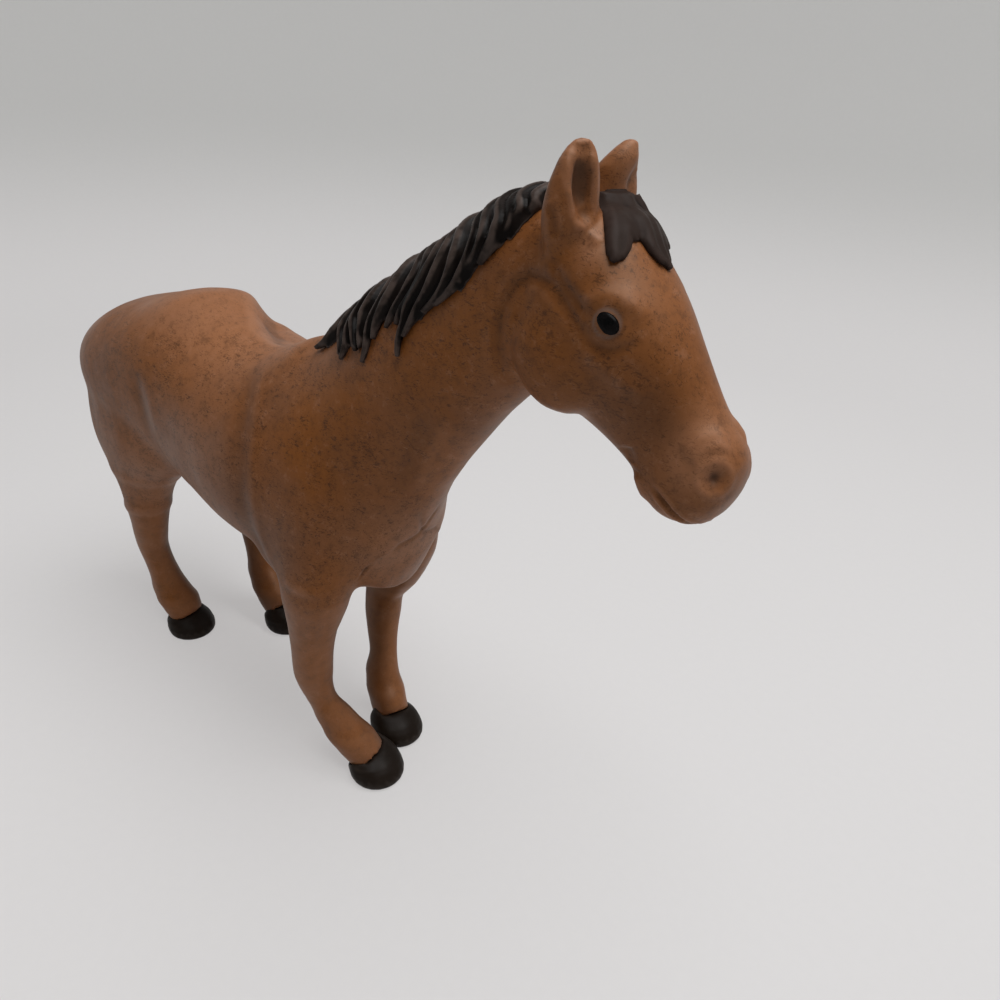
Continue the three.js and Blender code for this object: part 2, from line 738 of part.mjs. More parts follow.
addPiece('body_skin', skin, 'skin');
addPiece('tail', tailForm(0), 'hair');
const raisedNeck = bodyLoft([...trunkRows, ...neckRows], maneRise, bodySides, rings);
const clear = skinForm(gap);
const mane = raisedNeck.intersect(prism(maneOutline, -barrelWidth, maneOverlap)).subtract(clear);
addPiece('mane', mane, 'hair');
const forelock = earlessForm(forelockRise).intersect(forelockPrism()).subtract(clear);
addPiece('forelock', forelock, 'hair');
const box = new THREE.Box3().setFromObject(group);
group.position.set(-(box.min.x + box.max.x) / 2, -(box.min.y + box.max.y) / 2, 0);
export default group;
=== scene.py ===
"""A toy horse cast in soft brown vinyl, standing on a pale sheet in plain soft light."""

import math

import bmesh
import bpy
import numpy as np
from mathutils import Matrix, Vector
from mathutils.bvhtree import BVHTree


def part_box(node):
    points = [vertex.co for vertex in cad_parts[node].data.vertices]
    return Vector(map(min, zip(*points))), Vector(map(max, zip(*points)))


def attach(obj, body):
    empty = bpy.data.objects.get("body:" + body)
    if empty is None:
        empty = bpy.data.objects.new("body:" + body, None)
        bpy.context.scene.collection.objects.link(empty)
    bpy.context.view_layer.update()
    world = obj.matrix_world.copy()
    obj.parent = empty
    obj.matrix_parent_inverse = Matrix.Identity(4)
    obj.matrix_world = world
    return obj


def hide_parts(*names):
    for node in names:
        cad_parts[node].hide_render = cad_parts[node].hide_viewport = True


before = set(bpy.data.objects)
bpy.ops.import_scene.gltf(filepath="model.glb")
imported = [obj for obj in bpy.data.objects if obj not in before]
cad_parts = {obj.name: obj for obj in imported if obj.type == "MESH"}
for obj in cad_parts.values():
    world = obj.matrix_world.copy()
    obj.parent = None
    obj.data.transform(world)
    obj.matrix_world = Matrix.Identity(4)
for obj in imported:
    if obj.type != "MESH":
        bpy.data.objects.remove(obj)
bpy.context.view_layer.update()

# Camera
# A phone held a forearm's length ahead of the horse's right shoulder, a little above its ears
# and looking down at it, slightly tipped.
MM = 1000.0
LENS_MM, SENSOR_MM, CLIP_START_MM = 27.36, 36.0, 5.0
CAMERA_PLACE_MM = (181.09, -128.7, 204.7)
TURN_DEG, DOWN_DEG, TIP_DEG = 39.58, 27.77, 3.95
turn, down, tip = (math.radians(angle) for angle in (TURN_DEG, DOWN_DEG, TIP_DEG))
ahead = Vector((-math.sin(turn) * math.cos(down), math.cos(turn) * math.cos(down), -math.sin(down)))
level = Vector((math.cos(turn), math.sin(turn), 0.0))
upright = level.cross(ahead)
rightward = level * math.cos(tip) + upright * math.sin(tip)
upward = upright * math.cos(tip) - level * math.sin(tip)
camera_data = bpy.data.cameras.new("camera")
camera_data.lens = LENS_MM
camera_data.sensor_width = SENSOR_MM
camera_data.clip_start = CLIP_START_MM / MM
camera = bpy.data.objects.new("camera", camera_data)
bpy.context.scene.collection.objects.link(camera)
facing = Matrix((rightward, upward, -ahead)).transposed().to_4x4()
camera.matrix_world = Matrix.Translation(Vector(CAMERA_PLACE_MM) / MM) @ facing
bpy.context.scene.camera = camera

# Casting: trunk, neck, head and ears with the four legs
# One soft vinyl skin, shaped in its mould: the muscles, jowls, brows, nostrils, mouth and ear hollows
# are pressed in it. It is worked as one skin here, and the legs are parted from it further down.
CASTING_NODES = (
    "body_skin", "fore_leg_right", "fore_leg_left", "hind_leg_right", "hind_leg_left",
    "eye_right", "eye_left",
)
SKIN_SQUARE_MM = 1.0
# The seat of the tail is filled here, because the tail grows out of the skin unbroken.
TAIL_SEAT_MM, TAIL_SEAT_HALF_MM = (-114.5, 0.0, 120.6), (6.0, 6.3, 5.8)


def piece_of(shape, name):
    """A new object of the scene with this shape, which is used up."""
    mesh = bpy.data.meshes.new(name)
    shape.to_mesh(mesh)
    shape.free()
    piece = bpy.data.objects.new(name, mesh)
    bpy.context.scene.collection.objects.link(piece)
    return piece


def joined_copy(name, nodes, plugs=()):
    """One new object with the shapes of these CAD nodes, which stay as they are, and oval plugs."""
    shapes = bmesh.new()
    for node in nodes:
        shapes.from_mesh(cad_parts[node].data)
    for middle, half in plugs:
        place = Matrix.Translation(Vector(middle) / MM) @ Matrix.Diagonal((*(h / MM for h in half), 1.0))
        bmesh.ops.create_icosphere(shapes, subdivisions=4, radius=1.0, matrix=place)
    return piece_of(shapes, name)


def largest_shell(mesh):
    """Deletes every loose shell of a mesh but the one with the most corners."""
    shell = bmesh.new()
    shell.from_mesh(mesh)
    left = set(shell.verts)
    best = set()
    while left:
        reached = {left.pop()}
        edge_of_search = list(reached)
        while edge_of_search:
            corner = edge_of_search.pop()
            for edge in corner.link_edges:
                other = edge.other_vert(corner)
                if other in left:
                    left.discard(other)
                    reached.add(other)
                    edge_of_search.append(other)
        if len(reached) > len(best):
            best = reached
    bmesh.ops.delete(shell, geom=[v for v in shell.verts if v not in best], context="VERTS")
    shell.to_mesh(mesh)
    shell.free()


def even_skin(piece, square_mm):
    """Gives a piece one closed skin of even squares."""
    remesh = piece.modifiers.new("even skin", "REMESH")
    remesh.mode = "VOXEL"
    remesh.voxel_size = square_mm / MM
    view = bpy.context.evaluated_depsgraph_get()
    mesh = bpy.data.meshes.new_from_object(piece.evaluated_get(view))
    piece.modifiers.clear()
    piece.data = mesh
    largest_shell(mesh)
    mesh.shade_smooth()


def corners_of(mesh):
    """The corners of a mesh in millimetres."""
    flat = np.empty(len(mesh.vertices) * 3)
    mesh.vertices.foreach_get("co", flat)
    return flat.reshape(-1, 3) * MM


def set_corners(mesh, points):
    """Moves the corners of a mesh to these places in millimetres."""
    mesh.vertices.foreach_set("co", (points / MM).astype(np.float32).ravel())
    mesh.update()


def outward_of(mesh):
    """The outward direction at each corner."""
    flat = np.empty(len(mesh.vertices) * 3)
    mesh.vertex_normals.foreach_get("vector", flat)
    return flat.reshape(-1, 3)


def around_mean(points, pairs):
    """The mean of each corner's neighbours."""
    count = np.bincount(pairs.ravel(), minlength=len(points))[:, None]
    total = np.stack([
        np.bincount(pairs[:, 0], points[pairs[:, 1], axis], len(points))
        + np.bincount(pairs[:, 1], points[pairs[:, 0], axis], len(points))
        for axis in range(3)
    ], axis=1)
    return total / np.maximum(count, 1)


def pairs_of(mesh):
    """The two corners of each edge."""
    flat = np.empty(len(mesh.edges) * 2, dtype=np.int32)
    mesh.edges.foreach_get("vertices", flat)
    return flat.reshape(-1, 2)


def relax(mesh, rounds, amount=1.0, steps=(0.5, -0.53)):
    """Takes facets and creases out of a skin without making it smaller. amount may differ by corner."""
    points = corners_of(mesh)
    pairs = pairs_of(mesh)
    share = np.broadcast_to(np.asarray(amount, float).reshape(-1, 1), (len(points), 1))
    for _ in range(rounds):
        for step in steps:
            points = points + share * step * (around_mean(points, pairs) - points)
    set_corners(mesh, points)


def blend(mesh, rounds, amount):
    """Lets the forms of a skin flow into each other, as soft vinyl does. amount may differ by corner."""
    relax(mesh, rounds, amount, (0.5,))


def slope(value, low, high):
    """0 up to low, 1 from high on, and a straight slope between them."""
    return np.clip((value - low) / (high - low), 0.0, 1.0)


def region(points, *limits):
    """1 inside a part of the horse and 0 outside, with soft edges: (axis, where it is 0, where it is 1)."""
    share = np.ones(len(points))
    for axis, none, full in limits:
        value = np.abs(points[:, 1]) if axis == "aside" else points[:, "xyz".index(axis)]
        share = share * slope(value, none, full)
    return share


def bell(distance, half_width, middle=0.0):
    """1 at the middle distance, falling softly to both sides."""
    return np.exp(-(((distance - middle) / half_width) ** 2))


def finer(mesh, chosen):
    """Splits each edge whose both ends are chosen, so that small forms can be worked there."""
    skin = bmesh.new()
    skin.from_mesh(mesh)
    skin.verts.ensure_lookup_table()
    picked = [e for e in skin.edges if chosen[e.verts[0].index] and chosen[e.verts[1].index]]
    bmesh.ops.subdivide_edges(skin, edges=picked, cuts=1, use_grid_fill=True)
    skin.to_mesh(mesh)
    skin.free()
    mesh.shade_smooth()


def near_line(points, line):
    """How far each point is from a broken line, and how far along it the nearest place is, 0 to 1."""
    line = np.asarray(line, float)
    steps = np.linalg.norm(np.diff(line, axis=0), axis=1)
    before = np.concatenate([[0.0], np.cumsum(steps)])
    best = np.full(len(points), np.inf)
    place = np.zeros(len(points))
    for k, length in enumerate(steps):
        way = (line[k + 1] - line[k]) / length
        t = np.clip((points - line[k]) @ way, 0.0, length)
        distance = np.linalg.norm(points - line[k] - t[:, None] * way, axis=1)
        nearer = distance < best
        best = np.where(nearer, distance, best)
        place = np.where(nearer, (before[k] + t) / before[-1], place)
    return best, place


def fade(place):
    """1 along the middle of a line, falling to 0 over its first and last fifth."""
    return np.clip(np.minimum(place, 1.0 - place) / 0.2, 0.0, 1.0) ** 0.7


def both_sides(line):
    """A line on the right side of the horse, and its twin on the left."""
    return [line, [(x, -y, z) for x, y, z in line]]


# Parts of the horse in mm: an axis, where the part starts and where it is full.
TRUNK = [("z", 72, 92), ("x", 82, 68)]
SHOULDER = [*TRUNK, ("x", -5, 12), ("x", 76, 60), ("aside", 2, 9), ("z", 152, 138)]
LIMB_TOP = [("z", 62, 76), ("z", 104, 90), ("aside", 6, 10)]
FACE = [("z", 188, 182), ("x", 78, 84)]
# The same with sharp limits: the lowest and the highest x and z.
HEAD_LIMITS, EAR_LIMITS = (78, math.inf, 128, math.inf), (84, math.inf, 184, math.inf)
BREAST_LIMITS = (30, 58, 74, 102)
# How often each part's forms are let flow into each other, and how often the whole skin is relaxed:
# at first, once it is blended, and where it was made finer.
BLENDED = [(TRUNK, 16), (SHOULDER, 60), (LIMB_TOP, 14)]
FACE_ROUNDS, SKIN_ROUNDS = 5, (10, 12, 2)


def is_between(points, x_low, x_high, z_low, z_high):
    """Whether each point lies within these limits."""
    return (points[:, 0] > x_low) & (points[:, 0] < x_high) & (points[:, 2] > z_low) & (points[:, 2] < z_high)


casting = joined_copy("casting", CASTING_NODES, [(TAIL_SEAT_MM, TAIL_SEAT_HALF_MM)])
even_skin(casting, SKIN_SQUARE_MM)
skin_mesh = casting.data
points = corners_of(skin_mesh)
is_head = is_between(points, *HEAD_LIMITS)
relax(skin_mesh, SKIN_ROUNDS[0])
for part, rounds in BLENDED:
    blend(skin_mesh, rounds, region(points, *part))
blend(skin_mesh, FACE_ROUNDS, is_head * region(points, *FACE))
relax(skin_mesh, SKIN_ROUNDS[1], np.where(is_between(points, *EAR_LIMITS), 0.0, 1.0))
finer(skin_mesh, is_head | is_between(points, *BREAST_LIMITS))
relax(skin_mesh, SKIN_ROUNDS[2])

# The lines of the forms on the right side. The left side carries them too.
JOWL_GROOVE = [
    (81.3, -7.1, 150.3), (80.7, -10.0, 154.3), (80.7, -11.8, 159.2), (81.3, -12.8, 164.5),
    (82.5, -12.9, 168.5), (84.6, -12.5, 172.5), (87.4, -11.6, 175.1), (90.5, -12.4, 175.4),
    (93.7, -13.1, 174.8), (96.6, -13.7, 173.0), (99.3, -14.1, 170.9), (101.2, -14.2, 169.1),
    (103.8, -13.8, 167.0), (106.0, -13.4, 166.0),
]
BROW = [
    (101.5, -13.9, 172.8), (103.4, -13.2, 173.9), (105.8, -12.0, 174.6), (108.4, -11.0, 174.2),
    (110.7, -10.4, 172.8),
]
EYE_BAG = [
    (103.6, -13.9, 166.2), (106.6, -13.2, 165.6), (109.5, -12.3, 165.6), (111.7, -11.1, 166.8),
    (113.1, -9.8, 168.2),
]
TEMPLE_FURROW = [
    (93.4, -11.6, 178.6), (94.4, -12.5, 177.3), (97.0, -13.2, 175.5), (100.0, -13.7, 173.4),
    (102.5, -13.8, 171.8), (104.2, -13.7, 170.3),
]
SHOULDER_EDGE = [
    (-9.0, -8.0, 137.5), (-4.9, -14.9, 132.8), (-0.3, -19.4, 128.2), (3.0, -22.8, 122.5), (5.6, -25.8, 115.0),
    (7.2, -28.0, 106.6), (8.0, -28.8, 98.5), (8.8, -28.6, 89.5), (12.0, -27.6, 82.0), (17.5, -27.6, 77.5),
    (21.5, -28.2, 73.0),
]
ELBOW_RIM = [
    (20.5, -28.8, 80.5), (24.0, -29.0, 79.5), (29.0, -28.0, 79.0), (34.0, -25.0, 79.0),
]
BREAST_FRONT = [
    (42.5, -9.5, 90.5), (45.3, -6.7, 93.3), (46.4, -3.2, 94.3), (46.9, -1.0, 95.3), (47.8, 0.8, 97.6),
    (48.9, 1.6, 100.0), (49.4, 2.8, 102.2), (50.6, 3.4, 105.4),
]
NOSTRIL_BULGE = [
    (124.4, -8.6, 148.6), (125.4, -7.8, 150.0), (126.4, -6.6, 151.8), (128.3, -4.6, 152.5),
    (130.2, -2.2, 152.0),
]
FACE_CREST = [
    (102.0, -13.5, 165.0), (104.4, -13.5, 163.6), (107.6, -12.6, 161.8), (110.7, -11.6, 160.2),
    (113.8, -10.6, 158.6), (116.4, -9.7, 157.2),
]
MOUTH = [
    (119.0, -8.9, 141.0), (121.4, -9.2, 139.4), (123.4, -9.2, 138.0), (125.0, -8.6, 136.4),
    (126.8, -6.9, 134.6), (128.3, -3.8, 133.2), (128.8, 0.0, 132.8),
]
NOSTRIL_RIM = [
    (128.1, -8.1, 146.6), (126.9, -7.8, 148.8), (128.0, -6.4, 150.6), (129.6, -4.6, 151.1),
    (131.6, -2.6, 150.2),
]
BREAST_CREASE = [
    (35.8, -14.6, 80.6), (36.5, -14.4, 81.9), (37.8, -13.9, 84.0), (39.2, -13.6, 85.9), (42.6, -13.0, 89.3),
    (44.2, -10.8, 90.7), (45.0, -8.6, 91.6),
]
NECK_CORD = [(66.9, -10.8, 140.0), (62.0, -10.2, 131.1), (57.6, -9.1, 122.8), (52.3, -8.1, 112.6)]
NECK_FURROW = [(62.9, -12.6, 140.0), (58.0, -12.4, 131.1), (53.6, -11.4, 122.8), (48.3, -10.5, 112.6)]
EAR_ROOT = [(96.5, -11.5, 185.5), (97.4, -9.9, 184.9), (99.0, -8.4, 183.8), (101.2, -8.4, 182.6)]
EAR_NOTCH = [(92.6, -14.0, 188.5), (93.6, -14.1, 186.9), (93.9, -13.6, 184.7), (94.4, -13.1, 183.0)]
FLANK_EDGE = [
    (-51.5, -28.4, 123.0), (-49.5, -28.6, 117.5), (-47.6, -28.8, 109.7), (-47.5, -27.7, 99.6),
    (-45.5, -25.5, 92.0), (-40.0, -22.0, 84.5),
]
THIGH_FOLD = [(x - 4.4, y, z - 1.0) for x, y, z in FLANK_EDGE]
BARREL_FOLD = [(x - 3.8, y, z - 0.6) for x, y, z in SHOULDER_EDGE]
CHIN_LOBE = [(115.0, -7.0, 141.0), (116.0, -5.6, 138.6), (117.0, -4.0, 136.4)]
CHIN_NOTCH = [(112.2, -6.8, 146.6), (113.0, -6.4, 145.2), (113.8, -5.2, 144.0)]
# Each form: its line, its half width and its height in mm, below 0 for a furrow.
FORMS = [
    (JOWL_GROOVE, 1.5, -1.0), (TEMPLE_FURROW, 1.2, -0.65), (BROW, 1.8, 0.6), (EYE_BAG, 0.9, -0.35),
    (FACE_CREST, 1.9, 0.55), (NOSTRIL_RIM, 1.0, 0.35), (NOSTRIL_BULGE, 1.8, 0.5),
    (NECK_CORD, 3.6, 0.45), (NECK_FURROW, 3.4, -0.40), (SHOULDER_EDGE, 2.6, 0.40), (BARREL_FOLD, 4.2, -0.50),
    (FLANK_EDGE, 3.4, 0.35), (THIGH_FOLD, 4.4, -0.8), (ELBOW_RIM, 1.8, 0.35), (BREAST_FRONT, 0.8, -0.35),
    (EAR_ROOT, 1.3, 0.6), (EAR_NOTCH, 0.8, -0.5), (CHIN_LOBE, 2.2, 0.9), (CHIN_NOTCH, 2.0, -0.8),
]
# Sharp creases with raised lips. The last value says whether the second end runs out softly too.
CREASES = [(MOUTH, 0.55, -0.85, False), (BREAST_CREASE, 0.34, -0.5, True)]
# Round forms: rise, half width and distance from their middle in mm.
EYE_MIDDLE = (107.43, -13.14, 170.25)
EYE_LIDS = [(0.12, 0.7, 3.2), (-0.5, 2.5, 0.0)]
NOSTRIL_MIDDLE = (130.9, -6.6, 145.6)
NOSTRIL_BOWL = [(0.3, 0.9, 3.3), (-0.9, 2.4, 0.0), (-0.6, 1.2, 0.0)]
EAR_HOLLOW = [
    (96.2, -9.5, 197.6), (96.4, -9.9, 195.6), (96.3, -9.6, 193.4), (96.4, -9.3, 190.8), (97.0, -9.1, 188.2),
]
EAR_FACING_DEG, FAR_EAR_FACING_DEG = 32.0, 95.0
EAR_DEPTH_MM, FAR_EAR_DEPTH_MM = 1.3, 0.9
POLL_MM, POLL_DIP_MM, POLL_REACH_MM = (94.0, 2.0, 191.0), 1.9, 5.0
FAR_BROW_DROP_MM, FAR_BROW_HALF_MM = 1.3, 2.6
# The far ear is broad and leans in at its root, seen along this level direction.
FAR_EAR_WAY, FAR_EAR_EDGE_MM = (0.766, 0.643), 79.3
FAR_EAR_BROADER = ([187.0, 194.0, 197.0, 200.0], [0.50, 0.42, 0.18, 0.0])
FAR_EAR_LEAN = ([186.0, 191.0, 196.0, 201.0], [2.8, 2.0, 0.9, 0.2])
FAR_EAR = [("y", 1.5, 4), ("z", 184, 189), ("x", 84, 88)]
FAR_EAR_BLENDED = [("y", 1.5, 4), ("z", 185, 189), ("z", 200, 198), ("x", 84, 88)]
FAR_EAR_ROUNDS = 14
# Swells round the legs: height above the ground, half width and rise in mm.
FETLOCK, CORONET = (19.0, 3.6, 0.9), (13.5, 2.2, 0.45)
HIND_BANDS = [(75.5, 1.8, 0.35), (61.0, 2.2, 0.45)]
HIND_LEGS = [("x", -42, -52)]
# The loin dips where a level line of this direction through this place crosses the back. Each dip:
# depth, half width and how far along the line its middle is.
LOIN_PLACE_MM, LOIN_WAY = (-33.0, 7.3), (0.533, 0.846)
LOIN_DIPS, LOIN_START_MM = [(4.2, 4.4, 0.6), (1.2, 4.5, 6.5)], (-7.0, -2.5)
LOIN = [("y", -2, 8), ("z", 118, 130)]
WITHERS_RISE_MM, WITHERS_X_MM, WITHERS_HALF_MM = 2.3, 1.0, 10.0
WITHERS = [("z", 126, 136)]

points = corners_of(skin_mesh)
outward = outward_of(skin_mesh)
lift = np.zeros(len(points))
# Painted shade, kept as a mask: furrows, creases, the rims of the eye sockets, the legs' inner sides and
# shaded spots of the face and shoulder.
painted_shade = np.zeros(len(points))
for line, half_width, height in FORMS:
    for path in both_sides(line):
        distance, place = near_line(points, path)
        amount = fade(place) * bell(distance, half_width)
        lift += height * amount
        painted_shade += (0.5 if height < 0 else 0.0) * amount
for line, half_width, height, is_soft_ended in CREASES:
    for path in both_sides(line):
        distance, place = near_line(points, path)
        ends = slope(place, 0.0, 0.2) * (slope(place, 1.0, 0.8) if is_soft_ended else 1.0)
        lift += height * ends * bell(distance, half_width)
        lift -= 0.3 * height * ends * bell(distance, half_width, 2.2 * half_width)
        # Painted shade along the crease.
        painted_shade += 0.9 * ends * bell(distance, 0.8 * half_width)
# Painted shade in the ear hollows.
ear_hollow_shade = np.zeros(len(points))
nostril_dark = np.zeros(len(points))
eye_ring = np.zeros(len(points))
for side in (1, -1):
    mirror = np.array((1, side, 1))
    from_eye = np.linalg.norm(points - np.array(EYE_MIDDLE) * mirror, axis=1)
    lift += sum(rise * bell(from_eye, half_width, ring) for rise, half_width, ring in EYE_LIDS)
    painted_shade += 0.3 * bell(from_eye, 0.8, 2.9)
    eye_ring += bell(from_eye, 0.35, 2.5)
    from_nostril = np.linalg.norm(points - np.array(NOSTRIL_MIDDLE) * mirror, axis=1)
    lift += sum(rise * bell(from_nostril, half_width, ring) for rise, half_width, ring in NOSTRIL_BOWL)
    nostril_dark += bell(from_nostril, 1.5)
    is_near_ear = side > 0
    hollow_line = [(x, y, z) if is_near_ear else (x - 2.0, 0.8 - y, z) for x, y, z in EAR_HOLLOW]
    distance, place = near_line(points, hollow_line)
    facing = math.radians(EAR_FACING_DEG if is_near_ear else FAR_EAR_FACING_DEG)
    depth = EAR_DEPTH_MM if is_near_ear else FAR_EAR_DEPTH_MM
    straight = outward[:, 0] * math.cos(facing) - outward[:, 1] * side * math.sin(facing)
    on_front = slope(straight, 0.05, 0.4)
    lift += on_front * (0.15 * bell(distance, 0.7, 3.0) - depth * np.exp(-((distance / 2.0) ** 3)))
    ear_hollow_shade += on_front * bell(distance, 2.0) * slope(place, 1.0, 0.7) * slope(place, 0.0, 0.25)
lift -= POLL_DIP_MM * bell(np.linalg.norm(points - np.array(POLL_MM), axis=1), POLL_REACH_MM)
from_far_brow, _ = near_line(points, both_sides(BROW)[1])
lift -= FAR_BROW_DROP_MM * bell(from_far_brow, FAR_BROW_HALF_MM)
swells = [(*band, region(points, *HIND_LEGS)) for band in HIND_BANDS]
swells += [(*FETLOCK, slope(-outward[:, 0], -0.1, 0.7)), (*CORONET, 1.0)]
for height, half_width, rise, share in swells:
    lift += rise * bell(points[:, 2], half_width, height) * share
points = points + outward * lift[:, None]
X, Y, Z = points.T
across = LOIN_WAY[0] * (X - LOIN_PLACE_MM[0]) + LOIN_WAY[1] * (Y - LOIN_PLACE_MM[1])
loin_dip = sum(depth * bell(across, half_width, middle) for depth, half_width, middle in LOIN_DIPS)
loin_dip *= region(points, *LOIN) * slope(across, *LOIN_START_MM)
withers_rise = WITHERS_RISE_MM * bell(X, WITHERS_HALF_MM, WITHERS_X_MM) * region(points, *WITHERS)
points[:, 2] += withers_rise - loin_dip
along = X * FAR_EAR_WAY[0] + Y * FAR_EAR_WAY[1]
move = (along - FAR_EAR_EDGE_MM) * np.interp(Z, *FAR_EAR_BROADER) - np.interp(Z, *FAR_EAR_LEAN)
move *= region(points, *FAR_EAR)
points[:, 0] += move * FAR_EAR_WAY[0]
points[:, 1] += move * FAR_EAR_WAY[1]
set_corners(skin_mesh, points)
blend(skin_mesh, FAR_EAR_ROUNDS, region(points, *FAR_EAR_BLENDED))


def set_mask(mesh, name, values):
    """Keeps a number from -1 to 1 at each corner, for the material."""
    mask = mesh.attributes.new(name, "FLOAT", "POINT")
    mask.data.foreach_set("value", np.clip(values, -1.0, 1.0).astype(np.float32))


def spotted(points, spots):
    """Soft spots of colour on both sides, for tone and for painted light and shade: (middle on the right
    side, reach in mm, strength).
    """
    total = np.zeros(len(points))
    for middle, reach, strength in spots:
        for side in (1, -1):
            distance = np.linalg.norm(points - np.array(middle) * np.array((1, side, 1)), axis=1)
            total += strength * bell(distance, reach)
    return total


def set_edge_mask(mesh, reach_mm):
    """Marks ridges with up to 1 and creases with down to -1, for wear and painted highlight on ridges and
    painted shade in creases.
    """
    points, outward, pairs = corners_of(mesh), outward_of(mesh), pairs_of(mesh)
    bend = ((points - around_mean(points, pairs)) * outward).sum(1)
    for _ in range(3):
        bend = around_mean(np.repeat(bend[:, None], 3, axis=1), pairs)[:, 0]
    set_mask(mesh, "ridge", bend / reach_mm)


def set_relief_mask(mesh, reach_mm, rounds):
    """Marks what stands above the smoothed form with up to 1 and what lies below it with down to -1."""
    points, outward, pairs = corners_of(mesh), outward_of(mesh), pairs_of(mesh)
    smooth = points
    for _ in range(rounds):
        smooth = around_mean(smooth, pairs)
    set_mask(mesh, "ridge", ((points - smooth) * outward).sum(1) / reach_mm)


AMBER_SPOTS = [
    ((30.5, -17.2, 134.3), 13, 1.0), ((39.7, -18.5, 123.9), 11, 0.6), ((25.4, -24.1, 114.8), 12, 0.6),
    ((66.0, -13.7, 157.6), 10, 0.9), ((73.9, -13.1, 167.8), 7, 0.8), ((60.2, -13.9, 142.1), 10, 0.5),
    ((88.0, -12.8, 166.3), 8, 1.0), ((94.6, -14.6, 158.5), 9, 0.6), ((93.0, -11.0, 181.0), 6, 0.8),
    ((-53.1, -29.0, 112.8), 22, 1.0), ((-85.0, -26.0, 108.0), 18, 0.7), ((118.0, -9.0, 148.0), 8, 0.5),
]
# Mauve tone: partly uneven colour and partly painted shade on the lower and under sides.
MAUVE_AND_SHADE_SPOTS = [
    ((-22.8, -30.1, 102.6), 18, 0.9), ((-1.6, -30.2, 97.3), 17, 1.0), ((0.1, -25.7, 118.6), 10, 0.5),
    ((38.2, -18.2, 99.6), 14, 0.7), ((45.6, -7.0, 95.2), 13, 0.9), ((72.0, -6.0, 138.8), 10, 0.8),
    ((79.2, -6.2, 147.0), 6, 0.8), ((-65.3, -25.0, 78.3), 14, 0.9), ((27.0, -26.0, 88.0), 12, 0.6),
]
# Painted light: paler spots where light falls strongest, on the back, the rump, the muzzle and the ear roots,
# and on the undersides lit from the sheet.
PAINTED_LIGHT_SPOTS = [
    ((-52.4, -11.7, 142.3), 20, 1.0), ((-25.2, -7.8, 138.2), 18, 1.0), ((110.9, -8.5, 174.5), 8, 0.35),
    ((127.2, -5.9, 152.1), 6, 1.2), ((117.0, -6.0, 137.0), 6, 0.8), ((20.0, -12.0, 138.0), 12, 0.35),
    ((100.4, -10.4, 181.4), 3, 0.9), ((98.5, -9.0, 184.4), 2.5, 0.7), ((-22.8, -30.1, 102.6), 20, 1.0),
    ((45.6, -7.0, 93.0), 11, 0.9), ((-65.3, -25.0, 78.3), 15, 1.0), ((126.5, -8.5, 147.0), 5, 1.2),
    ((-54.6, -24.8, 91.6), 13, 1.0), ((95.0, -9.5, 198.5), 3.5, 0.5), ((94.0, 8.0, 196.0), 6, 0.4),
    ((-8.0, -2.0, 138.0), 14, 0.55), ((-72.0, -18.0, 66.0), 6, 0.7),
]
# Painted shade: darker spots on the face, the temple, the shoulder and the neck.
PAINTED_SHADE_SPOTS = [
    ((118.0, -8.0, 163.0), 11, 0.28), ((103.0, -10.0, 177.0), 8, 0.40), ((35.0, -19.0, 121.0), 14, 0.30),
    ((60.0, -13.0, 141.0), 11, 0.18), ((119.0, -9.0, 155.0), 6, 0.55), ((105.0, -10.0, 152.0), 9, 0.25),
]
# The lower legs, and the height up to which the legs' inner sides get painted shade.
LOWER_LEGS, SHADED_INNER_LEGS = [("z", 72, 50)], [("z", 84, 66)]
# How far an edge of the skin stands out when it is marked in full, for wear and painted highlight.
SKIN_EDGE_MM = 0.03
# Painted sheen, pale rings on the hind legs: strength, height above the ground and half width in mm.
HIND_SHEEN, SHEEN_SIDE = [(0.30, 75.5, 1.6), (0.35, 60.5, 2.0)], [("x", -45, -55)]
# Painted light: the far ear paler.
LIT_FAR_EAR = [("y", 3, 7), ("z", 187, 192), ("x", 84, 88)]
# Here the flecks are fainter.
CALM_RUMP = [("z", 128, 138), ("x", 0, -15)]
CALM_HEAD = [("x", 84, 94), ("z", 128, 134)]
CALM_MUZZLE = [("x", 118, 124)]
points = corners_of(skin_mesh)
on_lower_leg = region(points, *LOWER_LEGS)
sheen = sum(strength * bell(points[:, 2], half_width, height) for strength, height, half_width in HIND_SHEEN)
inward = -outward_of(skin_mesh)[:, 1] * np.sign(points[:, 1])
# Painted shade on the legs' inner sides, which the body shades, and in the shade spots.
painted_shade += 0.85 * slope(inward, 0.1, 0.8) * region(points, *SHADED_INNER_LEGS) + spotted(points, PAINTED_SHADE_SPOTS)
# pale is painted light: the light spots, the sheen rings and the far ear.
pale = spotted(points, PAINTED_LIGHT_SPOTS) + sheen * region(points, *SHEEN_SIDE) + 0.9 * region(points, *LIT_FAR_EAR)
calm = on_lower_leg + 0.7 * region(points, *CALM_RUMP)
calm += 0.35 * region(points, *CALM_HEAD) + 0.35 * region(points, *CALM_MUZZLE)
masks = {
    "painted_shade": painted_shade, "ear_hollow_shade": ear_hollow_shade, "nostril_dark": nostril_dark, "eye_ring": eye_ring,
    "amber": spotted(points, AMBER_SPOTS) + 0.8 * on_lower_leg,
    "mauve": spotted(points, MAUVE_AND_SHADE_SPOTS) * (1.0 - on_lower_leg),
    "pale": pale, "calm": calm,
}
for mask_name, values in masks.items():
    set_mask(skin_mesh, mask_name, values)
set_edge_mask(skin_mesh, SKIN_EDGE_MM)
